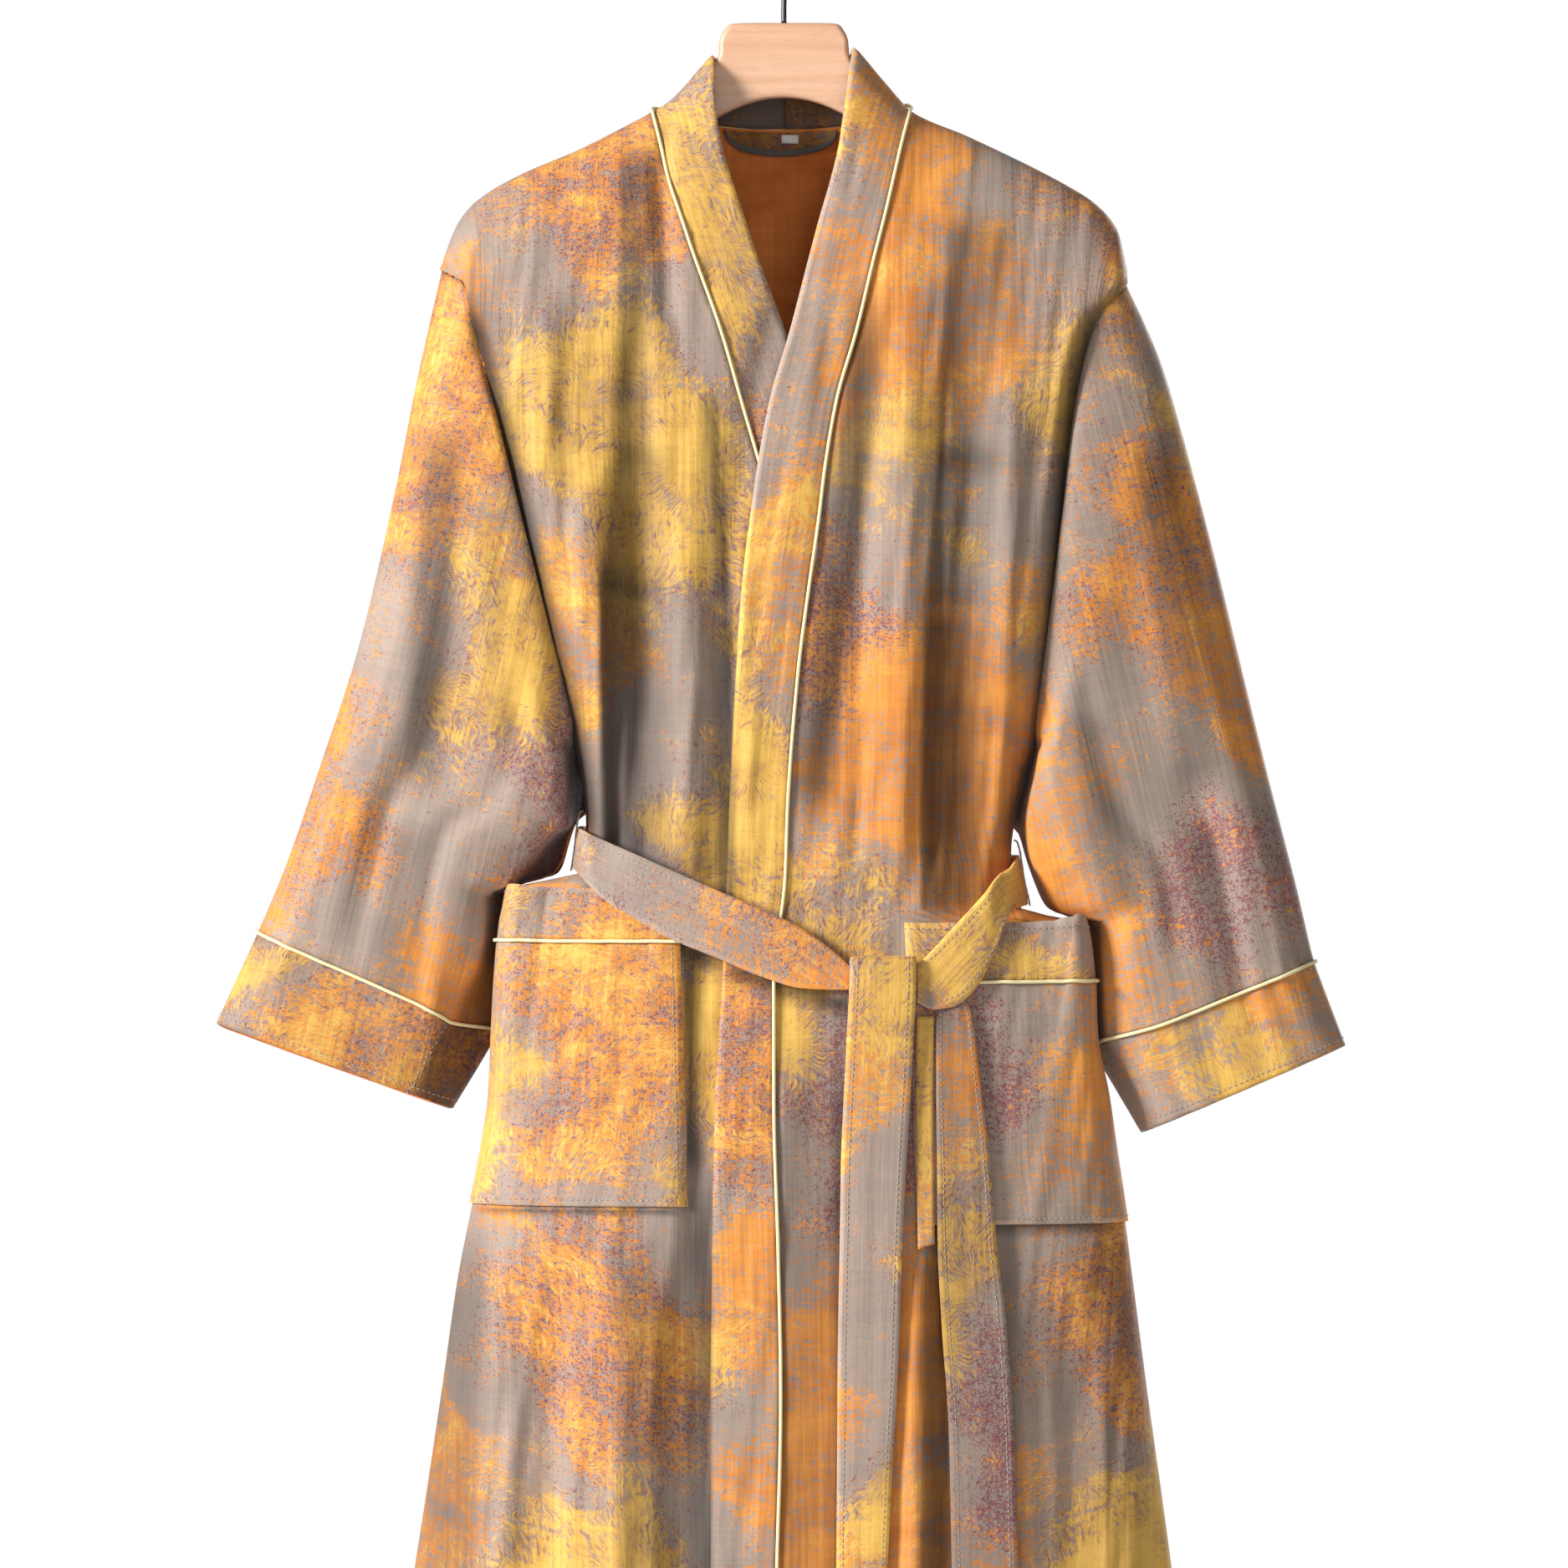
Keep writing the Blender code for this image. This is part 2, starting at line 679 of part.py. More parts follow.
def collar_grid(side):
    """The collar band of one side, from the hem up the front, over the shoulder to the centre back."""
    sign = SIDE_X[side]
    seam, free = [], []
    for down in seam_rows(side)[:1:-1]:
        seam.append(down)
        free.append(down if down > LEVEL else float(read(NECK_SECTIONS, "free", down, "seam")))
    share = np.linspace(0, 1, COLLAR_COLUMNS + 1)[None, :]
    seam, free = np.array(seam)[:, None], np.array(free)[:, None]
    seam_x = read(COLLAR_LINES, "seam_" + side, seam) - sign * (SEAM / 2 + 0.8 * ease((200 - seam) / 60))
    free_x = read(COLLAR_LINES, "free_" + side, free)
    x = seam_x + (free_x - seam_x) * share
    down = seam + (free - seam) * share
    out = -lap(x, down) if side == "right" else np.zeros_like(x)
    front = body("front", angle_of(x, down), down, out)
    crest_x = np.linspace(NECK_X[side] - sign * 1.4, -51.5 if side == "right" else 50.0, COLLAR_COLUMNS + 1)
    crest_z = -read(RIDGE, "down", crest_x, "across")
    crest = [np.stack([crest_x, np.full_like(crest_x, y), crest_z - RIDGE_DROP * abs(y) / RIDGE_FLAT], axis=-1)
             for y in (-RIDGE_FLAT, 0.0, RIDGE_FLAT)]
    crest[2][0, 0] -= sign * BACK_NECK_STEP
    crest[2][0, 2] = -float(read(RIDGE, "down", crest[2][0, 0], "across")) - RIDGE_DROP
    turns = np.radians([26, 44, 62, 80, 90])
    back = []
    for turn in turns:
        seam_b = crest_x[0] * math.cos(turn) * 0.998
        free_b = crest_x[-1] * math.cos(turn)
        seam_d = float(np.interp(seam_b, *back_neck())) - NECK_SEAM_GAP
        free_d = 97.0 + 5.0 * math.sin(turn)
        x_b = seam_b + (free_b - seam_b) * share[0]
        down_b = seam_d + (free_d - seam_d) * share[0]
        back.append(body("back", angle_of(x_b, down_b), down_b))
    back = np.array(back)
    back[-1, :, 0] = sign * SEAM / 2
    return np.concatenate([front, crest, back])


def outward(grid, flip=False):
    """The normals of a sheet at its points."""
    across = np.gradient(grid, axis=1)
    below = np.gradient(grid, axis=0)
    normal = np.cross(below, across)
    normal /= np.maximum(np.linalg.norm(normal, axis=-1, keepdims=True), 1e-9)
    return -normal if flip else normal


def between(values, row, column):
    """A value between the whole rows and columns of a panel."""
    r, c = int(min(row, values.shape[0] - 1.001)), int(min(column, values.shape[1] - 1.001))
    u, v = row - r, column - c
    upper = values[r, c] * (1 - v) + values[r, c + 1] * v
    lower = values[r + 1, c] * (1 - v) + values[r + 1, c + 1] * v
    return upper * (1 - u) + lower * u


def panel_sample(grid, normal, row, column, out):
    """A point on a panel between its own rows and columns, moved out."""
    across = between(normal, row, column)
    return between(grid, row, column) + across / np.linalg.norm(across) * out


def pocket_grid(side, top, end, clear):
    """A patch on the front panel between two heights, on the panel's own rows and columns."""
    pocket = POCKETS[side]
    grid = front_grid(side)
    if side == "left":
        grid = grid[:, ::-1]
    normal = outward(grid, flip=side == "left")
    heights = side_rows(side)
    own = np.arange(len(heights), dtype=float)
    inside = [j for j in own if top + 4 < heights[int(j)] < end - 4 and j >= len(TOP_SHARES)]
    rows = [float(np.interp(top, heights, own))] + inside + [float(np.interp(end, heights, own))]
    last = []
    for row in rows:
        down = float(np.interp(row, own, heights))
        share = (down - pocket["top"]) / (pocket["end"] - pocket["top"])
        x = pocket["inner_top"] + (pocket["inner_end"] - pocket["inner_top"]) * share
        upper = int(row)
        below = min(upper + 1, len(heights) - 1)
        line = (grid[upper, :, 0] + (grid[below, :, 0] - grid[upper, :, 0]) * (row - upper)) * pocket["side"]
        last.append(float(np.interp(-x * pocket["side"], -line, np.arange(len(line)))))
    whole = int(min(last))
    points = []
    for row, inner in zip(rows, last):
        down = float(np.interp(row, own, heights))
        share = (down - pocket["top"]) / (pocket["end"] - pocket["top"])
        columns = [POCKET_START] + list(range(1, whole + 1)) + [inner]
        line = []
        for column in columns:
            across = (column - POCKET_START) / (inner - POCKET_START)
            gape = pocket["gape"] * math.exp(-(((across - pocket["gape_at"]) / GAPE_WIDTH) ** 2))
            fall = max(0.0, 1 - share) ** 0.9
            line.append(panel_sample(grid, normal, row, column, clear + gape * fall))
        points.append(line)
    points = np.array(points)
    return points if side == "right" else points[:, ::-1]


def resting(face, x, down, clear):
    """The distance from the middle plane of a taut strip that crosses the robe here."""
    angles = np.linspace(-89.5, 89.5, 120)
    found = []
    for level in np.atleast_1d(down):
        points = body(face, angles, np.full(len(angles), level), clear)
        order = np.argsort(points[:, 0])
        found.append(np.interp(x, points[order, 0], np.abs(points[order, 1])))
    return float(np.max(found))


def across_robe(face, x, top, end, clear):
    """Top, middle and bottom point of a belt at one place, straight between its edges."""
    levels = np.linspace(top - 1, end + 1, 9)
    spread = x + np.array([-5.0, 0.0, 5.0])
    near = [resting(face, spread, part, clear) for part in (levels[:5], levels[3:6], levels[4:])]
    near[1] = max(near[1], (near[0] + near[2]) / 2)
    sign = -1.0 if face == "front" else 1.0
    depths = np.array(near) + BELT_WALL
    return np.stack([np.full(3, x), sign * depths, -np.array([top, (top + end) / 2, end])], axis=-1)


def hanging_strip(tab):
    """A strip that hangs in front of the robe, flat across, touching only its folds."""
    rows = []
    for down, left, right, clear in zip(*(tab[c] for c in "down left right clear".split())):
        x = np.linspace(left, right, 3)
        spread = [np.linspace(left - 2, x[1], 5), np.linspace(x[0] + 8, x[2] - 8, 5), np.linspace(x[1], right + 2, 5)]
        near = [resting("front", part, [down - 8, down, down + 8], clear) for part in spread]
        near[1] = max(near[1], (near[0] + near[2]) / 2)
        rows.append(np.stack([x, -np.array(near) - BELT_WALL, np.full(3, -down)], axis=-1))
    return np.array(rows)


def material(name):
    made = bpy.data.materials.get(name)
    if made:
        return made
    colour, roughness, metallic = PALETTE[name]
    made = bpy.data.materials.new(name)
    made.use_nodes = True
    shader = made.node_tree.nodes["Principled BSDF"]
    shader.inputs["Base Color"].default_value = (*colour, 1)
    shader.inputs["Roughness"].default_value = roughness
    shader.inputs["Metallic"].default_value = metallic
    return made


def place(obj, finish):
    bpy.data.collections["Kimono bathrobe"].objects.link(obj)
    obj.data.materials.append(material(finish))
    return obj


def sheet(name, grid, wall, finish, closed=False, flip=False):
    """A cloth wall: quads between the rows, thickened inwards from its outer face."""
    rows, columns = grid.shape[:2]
    faces = []
    for r in range(rows - 1):
        for c in range(columns if closed else columns - 1):
            d = (c + 1) % columns
            quad = (r * columns + c, (r + 1) * columns + c, (r + 1) * columns + d, r * columns + d)
            faces.append(quad[::-1] if flip else quad)
    mesh = bpy.data.meshes.new(name)
    mesh.from_pydata((grid.reshape(-1, 3) * MM).tolist(), [], faces)
    mesh.shade_smooth()
    obj = place(bpy.data.objects.new(name, mesh), finish)
    solid = obj.modifiers.new("Wall", "SOLIDIFY")
    solid.thickness = wall * MM
    solid.offset = -1
    solid.use_even_offset = True
    solid.thickness_clamp = 2.0
    return obj


def solid(name, rings, finish):
    """A closed body through rings of points, with a flat face at each end."""
    count, sides = rings.shape[:2]
    faces = [tuple(reversed(range(sides))), tuple(range((count - 1) * sides, count * sides))]
    for r in range(count - 1):
        for c in range(sides):
            d = (c + 1) % sides
            faces.append((r * sides + c, r * sides + d, (r + 1) * sides + d, (r + 1) * sides + c))
    mesh = bpy.data.meshes.new(name)
    mesh.from_pydata((rings.reshape(-1, 3) * MM).tolist(), [], faces)
    mesh.shade_smooth()
    return place(bpy.data.objects.new(name, mesh), finish)


def cord(name, points, diameter, finish, closed=False, resolution=1):
    """A round cord along a row of points."""
    curve = bpy.data.curves.new(name, "CURVE")
    curve.dimensions = "3D"
    curve.bevel_depth = diameter / 2 * MM
    curve.bevel_resolution = resolution
    curve.use_fill_caps = not closed
    spline = curve.splines.new("POLY")
    spline.points.add(len(points) - 1)
    for target, point in zip(spline.points, points):
        target.co = (*(float(v) * MM for v in point), 1)
    spline.use_cyclic_u = closed
    return place(bpy.data.objects.new(name, curve), finish)


def robe_panels():
    for side in SIDE_X:
        sheet("front_" + side, front_grid(side), CLOTH, "jacquard")
    sheet("back", back_grid(), CLOTH, "jacquard")


def sleeves():
    for side in SIDE_X:
        rows, angles = sleeve_grid(side)
        cuff = cuff_grid(side, rows, angles)
        flip = side == "left"
        sheet("sleeve_" + side, rows, CLOTH, "jacquard", closed=True, flip=flip)
        sheet("cuff_" + side, cuff, DOUBLED, "jacquard", closed=True, flip=flip)
        around = np.roll(cuff[0], -1, axis=0) - np.roll(cuff[0], 1, axis=0)
        away = np.cross(cuff[2] - cuff[0], around) * (1 if flip is False else -1)
        away /= np.linalg.norm(away, axis=-1, keepdims=True)
        ring = (rows[-1] + cuff[0]) / 2 + away * (PIPING / 2 + SEAM + 0.1)
        cord("piping_cuff_" + side, ring, PIPING, "piping_cotton", closed=True)


def collar():
    for side in SIDE_X:
        grid = collar_grid(side)
        sheet("collar_" + side, grid, COLLAR_WALL, "jacquard", flip=side == "right")


def piping_route(side):
    """The seam of one collar half from the hem to the centre back, moved out."""
    grid = collar_grid(side)
    normal = outward(grid, flip=side == "right")
    clear = np.full((len(grid), 1), PIPING / 2 + SEAM + PIPING_LIFT)
    clear[-BACK_NECK_ROWS:] += BACK_NECK_LIFT
    return grid[:, 0] + normal[:, 0] * clear


def collar_piping():
    right, left = piping_route("right"), piping_route("left")
    middle = (right[-1:] + left[-1:]) / 2
    cord("piping_collar", np.concatenate([right[:-1], middle, left[-2::-1]]), PIPING, "piping_cotton")


def pockets():
    for side, pocket in POCKETS.items():
        clear = POCKET_CLEAR + CLOTH
        band = pocket_grid(side, pocket["top"], pocket["seam"] - SEAM / 2, clear)
        bag = pocket_grid(side, pocket["seam"] + SEAM / 2, pocket["end"], clear)
        sheet("pocket_band_" + side, band, CLOTH, "jacquard")
        sheet("pocket_" + side, bag, CLOTH, "jacquard")
        line = pocket_grid(side, pocket["seam"], pocket["end"], clear + PIPING / 2 + SEAM)[0]
        cord("piping_pocket_" + side, line, PIPING, "piping_cotton")


def belt_wrap():
    rows = []
    for turn, tab in enumerate((BELT_RIGHT, BELT_ROUND_RIGHT, BELT_BACK, BELT_ROUND_LEFT, BELT_LEFT)):
        if "angle" in tab:
            for angle, face, top, end, clear in zip(*(tab[c] for c in "angle face top end clear".split())):
                down = np.linspace(top, end, 3)
                name = "front" if face < 0 else "back"
                rows.append(body(name, np.full(3, angle), down, clear + BELT_WALL))
        else:
            face = "back" if turn == 2 else "front"
            for station in zip(*(tab[c] for c in "x top end clear".split())):
                rows.append(across_robe(face, *station))
    sheet("belt_wrap", np.array(rows), BELT_WALL, "jacquard")


def belt_knot():
    rings = []
    for x, top, end, near, far in zip(*(KNOT[c] for c in "x top end near far".split())):
        lie = resting("front", x, np.linspace(750, 771, 4), 0)
        turn = np.radians(np.arange(0, 360, 30))
        y = -lie - (near + far) / 2 - (far - near) / 2 * power(np.sin(turn), 0.8)
        z = -(top + end) / 2 + (end - top) / 2 * power(np.cos(turn), 0.8)
        rings.append(np.stack([np.full(len(turn), x), y, z], axis=-1))
    solid("belt_knot", np.array(rings), "jacquard")


def belt_ends():
    inside, outside = hanging_strip(TAIL_INSIDE), hanging_strip(TAIL_MAIN)
    inside[:, :, 1] += BELT_WALL
    sheet("belt_tail_main", np.concatenate([inside, outside]), BELT_WALL, "jacquard")
    sheet("belt_tail_second", hanging_strip(TAIL_SECOND), BELT_WALL, "jacquard")
    tie = hanging_strip(INNER_TIE)
    tie[-1, :, 2] += np.linspace(-1, 1, 3) * TIE_SLANT / 2
    sheet("inner_tie", tie, CLOTH, "jacquard")


def neck_pieces():
    """The half-moon facing inside the back neck, its bound edge and the blank label."""
    x = np.linspace(*FACING_X, 9)
    middle, half = (FACING_X[0] + FACING_X[1]) / 2, (FACING_X[1] - FACING_X[0]) / 2
    bow = np.sqrt(np.clip(1 - ((x - middle) / half) ** 2, 0, 1))
    top = neck_seam_down(x) + 1.5
    low = top + 2.0 + (FACING_LOW - 2.0 - top) * bow
    share = np.linspace(0, 1, 3)[:, None]
    down = top + (low - top) * share
    inside = -(CLOTH + FACING_CLEAR)
    grid = body("back", angle_of(np.broadcast_to(x, down.shape), down), down, inside)
    sheet("neck_facing", grid[:, ::-1], FACING_WALL, "jacquard")
    edge = low + np.array([[-BINDING_WIDE], [0.6]])
    inside -= FACING_WALL + SEAM
    grid = body("back", angle_of(np.broadcast_to(x, edge.shape), edge), edge, inside)
    sheet("facing_binding", grid[:, ::-1], FACING_WALL, "binding_tape")
    across = np.linspace(LABEL_X, LABEL_X + LABEL_SIZE[0], 3)[None, :] + np.zeros((2, 1))
    down = np.array([[LABEL_DOWN], [LABEL_DOWN + LABEL_SIZE[1]]]) + 0 * across
    grid = body("back", angle_of(across, down), down, inside)
    sheet("neck_label", grid[:, ::-1], LABEL_WALL, "label_satin")


def belt_loops():
    for side, route in LOOPS.items():
        points = []
        for down, out in zip(route["down"], route["out"]):
            level = min(down, LOOP_LEVEL[side])
            point = body("front", SIDE_X[side] * 90.0, level, out)
            points.append((point[0], point[1], -down))
        cord("belt_loop_" + side, points, THREAD, "thread")


def wood_outline():
    """Half of the hanger seen from the front, from the middle of its top round to the arch."""
    reach = np.linspace(54.0, 219.0, 12)
    lie = np.maximum(read(RIDGE, "down", reach, "across"), read(RIDGE, "down", -reach, "across"))
    slope = np.gradient(lie, reach)
    wall = np.where(reach < 96, COLLAR_WALL, CLOTH) + WOOD_CLEAR
    top = [(0.0, 75.0), (37.0, 75.0), (41.5, 77.5), (47.0, 87.0), (46.4, 99.0)]
    top += list(zip(reach, lie + wall * np.sqrt(1 + slope**2)))
    tip = [(223.5, 219.0), (224.5, 228.0), (219.0, 236.0)]
    under = [(196.0, 224.0), (150.0, 200.0), (100.0, 175.0), (72.0, 160.0), (46.0, 142.0)]
    arch = []
    for turn in np.linspace(0.92, 0.0, 5):
        arch.append((46.0 * turn, ARCH_TOP + (142.0 - ARCH_TOP) * turn**2))
    return top + tip + under + arch


def hanger():
    half = wood_outline()
    outline = half + [(-x, down) for x, down in half[-2:0:-1]]
    curve = bpy.data.curves.new("hanger_body", "CURVE")
    curve.dimensions = "2D"
    curve.fill_mode = "BOTH"
    curve.extrude = (WOOD_THICK / 2 - WOOD_EDGE) * MM
    curve.bevel_depth = WOOD_EDGE * MM
    curve.bevel_resolution = 1
    curve.offset = -WOOD_EDGE * MM
    spline = curve.splines.new("POLY")
    spline.points.add(len(outline) - 1)
    for target, (x, down) in zip(spline.points, outline):
        target.co = (x * MM, -down * MM, 0, 1)
    spline.use_cyclic_u = True
    wood = place(bpy.data.objects.new("hanger_body", curve), "beech")
    wood.rotation_euler = (math.pi / 2, 0, 0)
    centre = -(HOOK_BEND - HOOK_ROD / 2)
    route = [(0.0, -75.0 + SEAM), (0.0, -66.0), (0.2, -57.0), (2.2, -49.0), (6.0, -42.0)]
    for turn in np.radians(np.arange(-56, 206, 14.0)):
        route.append((HOOK_BEND * math.cos(turn), centre + HOOK_BEND * math.sin(turn)))
    cord("hanger_hook", [(x, 0.0, z) for x, z in route], HOOK_ROD, "steel", resolution=2)


def main():
    for obj in list(bpy.data.objects):
        bpy.data.objects.remove(obj)
    collection = bpy.data.collections.new("Kimono bathrobe")
    bpy.context.scene.collection.children.link(collection)
    robe_panels()
    sleeves()
    collar()
    collar_piping()
    pockets()
    belt_wrap()
    belt_knot()
    belt_ends()
    neck_pieces()
    belt_loops()
    hanger()


main()
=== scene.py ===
"""Kimono bathrobe of cotton jacquard with a tied belt, hanging on a wooden hanger.

The tables and the shape functions are in millimetres and the same as the solids were made from, read
here at a finer step and with smaller creases. The origin is where a rail holds the hook, +Z is up, the
front faces -Y and the wearer's left is +X. "down" is a distance below the origin.
"""
import math

import bpy
import numpy as np
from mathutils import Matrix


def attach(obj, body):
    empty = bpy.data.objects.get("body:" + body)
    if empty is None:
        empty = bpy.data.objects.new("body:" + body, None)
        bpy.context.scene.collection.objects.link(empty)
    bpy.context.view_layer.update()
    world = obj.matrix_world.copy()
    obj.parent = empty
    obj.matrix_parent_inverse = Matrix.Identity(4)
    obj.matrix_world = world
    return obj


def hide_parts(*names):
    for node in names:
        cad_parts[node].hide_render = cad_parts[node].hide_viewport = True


bl_info = {
    "name": "Kimono bathrobe on a hanger",
    "version": (1, 0, 0),
    "blender": (4, 5, 0),
    "location": "View3D > Sidebar > Robe",
    "description": "Builds a hanging jacquard robe with its belt, pockets, piping and wooden hanger",
    "category": "Object",
}

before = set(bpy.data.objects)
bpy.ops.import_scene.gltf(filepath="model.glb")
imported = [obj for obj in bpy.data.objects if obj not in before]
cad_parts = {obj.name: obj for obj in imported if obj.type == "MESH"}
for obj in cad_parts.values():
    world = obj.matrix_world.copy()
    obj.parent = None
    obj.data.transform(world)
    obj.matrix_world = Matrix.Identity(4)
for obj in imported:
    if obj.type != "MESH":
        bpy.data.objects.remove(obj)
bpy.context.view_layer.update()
MM = 0.001

# Finishes
RIGHT_SIDE, WRONG_SIDE = "Cotton jacquard, right side", "Cotton jacquard, wrong side"
PIPING_TWILL = "Cotton piping, cream twill"
BINDING_TAPE = "Cotton binding tape"
LABEL_SATIN = "Label satin, unprinted"
SEWING_THREAD = "Polyester sewing thread"
BEECH = "Beech, satin lacquer"
BLACK_STEEL = "Blackened steel rod"
FLOOR_MATT = "Studio floor, pale matt"

# Sides and faces: the way each lies from the middle
SIDE_X = {"right": -1.0, "left": 1.0}
FACE_Y = {"front": -1.0, "back": 1.0}

# Walls of the cloth, trim, and the gaps at the seams
CLOTH = 1.6
DOUBLED = 2.4
COLLAR_WALL = 2.6
FACING_WALL = 1.0
LABEL_WALL = 1.0
BELT_WALL = 2.2
SEAM = 0.3
PIPING = 2.6
PIPING_LIFT = 0.25
THREAD = 1.4
# How far the topstitching lies over the cloth
STITCH_LIFT = 0.3
# How many points the direction of the collar's cord is levelled over
CORD_LEVEL = 25

# Body of the robe: the exponents of its sections, how soon it hangs full, levels, and the top over the hanger
ROUNDNESS = 2.6
DRAPE = 130.0
DRAPE_ROUND = 2.6
LEVEL = 420.0
HEM = 1339.0
ARMPIT = 585.0
RIDGE_FLAT = 5.5
RIDGE_DROP = 0.6
RIDGE_GAP = 0.25
SHOULDER_DOWN = {"right": 250.0, "left": 262.0}
NECK_POINT = {"right": 138.5, "left": 138.0}
NECK_X = {"right": -95.0, "left": 91.0}
# How far the collar's seam dips behind the neck
NECK_DIP = 11.0
# The right front goes in under the left one: how far, over what width, and from which level on
LAP_DEPTH = 7.6
LAP_SLOPE = 26.0
LAP_LEAD = 34.0
LAP_TOP = 235.0
LAP_RISE = 50.0
# Columns of the solids' grids, and steps of this finer one
FRONT_COLUMNS = 17
SHOULDER_COLUMNS = 7
NECK_COLUMNS = 7
FRONT_STEPS = 84
BACK_STEPS = 5
COLLAR_STEPS = 12
SHOULDER_ROWS = 44
SHOULDER_CROWD = 1.35
ARMHOLE_ROWS = 33
SKIRT_ROWS = 151
# Half steps in degrees and mm over which a normal is measured
ANGLE_STEP = 0.5
DOWN_STEP = 0.8

# Collar over the shoulder and round the back of the neck
NECK_SEAM_GAP = 0.8
BACK_NECK_LIFT = 0.9
BACK_NECK_STEP = 4.0
CREST_IN = 1.4
CREST_FREE = {"right": -51.5, "left": 50.0}
NECK_TURNS = (26, 44, 62, 80, 90)
NECK_FREE = 97.0
NECK_FREE_DIP = 5.0
NECK_ROWS = 40
NECK_RISE = 12

# Sleeves
SLEEVE_ROUND = 0.85
SLEEVE_ROWS = 96
CUFF_ROWS = 22
ARMHOLE_TUCK = 0.6
CUFF_GAP = 0.8
# How far the sleeve goes in under the armhole, and how far it swings out, in radians
SLEEVE_UNDER = 1.5
SLEEVE_LEAN = 0.235
# The roll over the armhole's seam: how high, and its start, end, rise and fall along and round the sleeve
ROLL_OUT = 6.0
ROLL_OVER = 5.0
ROLL_ALONG = (0.0, 0.16, 0.035, 0.12)
ROLL_ROUND = (22, 168, 50, 20)
# Shares of a sleeve's half width at which its inner edge turns under, in front and behind
UNDER_EDGE = 0.82
BEHIND_EDGE = 0.35
TUCK_TOP = 584
TUCK_RISE = 16
# The right cuff's seam, levels and then distances across, and the groove along it
CUFF_SEAM = ((779.0, 850.0), (-235.0, -275.0))
CUFF_GROOVE = 1.3
CUFF_GROOVE_WIDE = 1.6
# Share of its length by which the back of each cuff hangs lower
HEM_SHOWS = {"right": 0.055, "left": 0.015}

# Pockets and belt
POCKET_CLEAR = 0.8
POCKET_START = 0.6
GAPE_WIDTH = 0.16
BELT_STEPS = 12
BELT_STITCH = (0.12, 0.88)
TIE_SLANT = 4.0

# Hanger
WOOD_THICK = 15.0
WOOD_EDGE = 4.0
WOOD_CLEAR = 1.6
NECK_TOP = 75.0
ARCH_TOP = 128.4
ARCH_LOW = 142.0
ARCH_HALF = 46.0
HOOK_ROD = 4.0
HOOK_BEND = 21.0
# Distance between the rod's points at its tip
HOOK_STEP = 1.2

# How folds fade in and out: shares of their length, and of the surface's turn to the side
FOLD_FADE = (0.22, 0.12)
SLEEVE_FADE = (0.3, 0.2)
SHADOW_FADE = (0.16, 0.12)
FOLD_EDGE = 0.35
# The groove beside the sleeves, from where to where it runs, and how it fades in and out
GROOVE = 12.0
GROOVE_WIDE = 9.0
GROOVE_SPAN = (268, 590, 40, 50)
# The panels are pressed thin at the points of the shoulders: share of the wall, and how far round them
THIN_SHARE = 0.1
THIN_NEAR = 6.0
THIN_FADE = 10.0
# Puckers beside the corded seams: the share of a band they reach across, and what is left behind the neck
PUCKER_REACH = 0.18
NECK_PUCKER = 0.2
NECK_PUCKER_ROWS = 60
# Shade on a sleeve: over a first share of its length, and on its under side below a level
TOP_DARK = 0.45
TOP_REACH = 0.02
UNDER_DARK = 0.62
UNDER_FROM = 590.0
UNDER_FADE = 40.0
# Painted shade on the right cuff, which lies in the sleeve's shadow, and how much more painted shade darkens
# its under side
CUFF_LIGHT = 0.82
CUFF_DARK = 0.5
# Light left on the inside of the cuffs and of the collar
CUFF_INSIDE = 0.3
COLLAR_INSIDE = 0.35
# Painted shade beside the armholes, in deep folds and behind the neck, and a painted highlight on folded
# edges
ARMHOLE_DARK = 0.93
ARMHOLE_WIDE = {"right": 14.0, "left": 11.0}
ARMHOLE_SPAN = (250, 700, 50, 60)
SHADOW_POWER = 1.8
EDGE_LIGHT = 1.35
FACING_SHADE = 0.45

# Stage, in metres: floor, the point the lights look at, and the camera's sensor in mm
FLOOR_REACH = 2.2
FLOOR_Z = -1.42
LIGHTS_AIM = (0.0, 0.0, -0.55)
SENSOR = 36.0


def table(columns, *rows):
    """Rows of numbers under named columns."""
    return {name: np.array(column, float) for name, column in zip(columns.split(), zip(*rows))}


def tables(columns, **parts):
    """Tables with the same columns, one for each side, face or piece."""
    return {part: table(columns, *rows) for part, rows in parts.items()}


def rows_of(tab):
    """The rows of a table again."""
    return zip(*tab.values())


# Side lines of the body seen from the front: armholes down to the armpit, then the side seams
SIDES = table(
    "down right left",
    (235, -248, 249),
    (252, -246, 248),
    (262, -230, 246),
    (285, -224, 226),
    (320, -215, 214),
    (370, -202, 205),
    (430, -188, 199),
    (478, -177, 195),
    (530, -165, 190),
    (585, -152, 184),
    (620, -145, 173),
    (650, -142, 165),
    (670, -144, 163),
    (686, -148, 165),
    (694, -196, 167),
    (711, -200, 171),
    (720, -202, 215),
    (763, -206, 221),
    (802, -208, 223),
    (844, -210, 231),
    (884, -216, 237),
    (929, -225, 244),
    (975, -234, 250),
    (1052, -245, 260),
    (1183, -265, 278),
    (1339, -292, 296),
)
# How far front and back stand from the plane of the hanger, and how deep the armhole is on each side
DEPTHS = table(
    "down front back edge",
    (70, 26, 24, 20),
    (130, 32, 30, 24),
    (170, 37, 35, 30),
    (220, 43, 39, 38),
    (300, 48, 43, 44),
    (370, 52, 46, 46),
    (430, 55, 48, 44),
    (500, 56, 49, 36),
    (550, 54, 48, 22),
    (585, 51, 47, 0),
    (650, 44, 42, 0),
    (690, 42, 41, 0),
    (730, 47, 45, 0),
    (850, 57, 52, 0),
    (1000, 66, 60, 0),
    (1183, 74, 68, 0),
    (1339, 80, 74, 0),
)
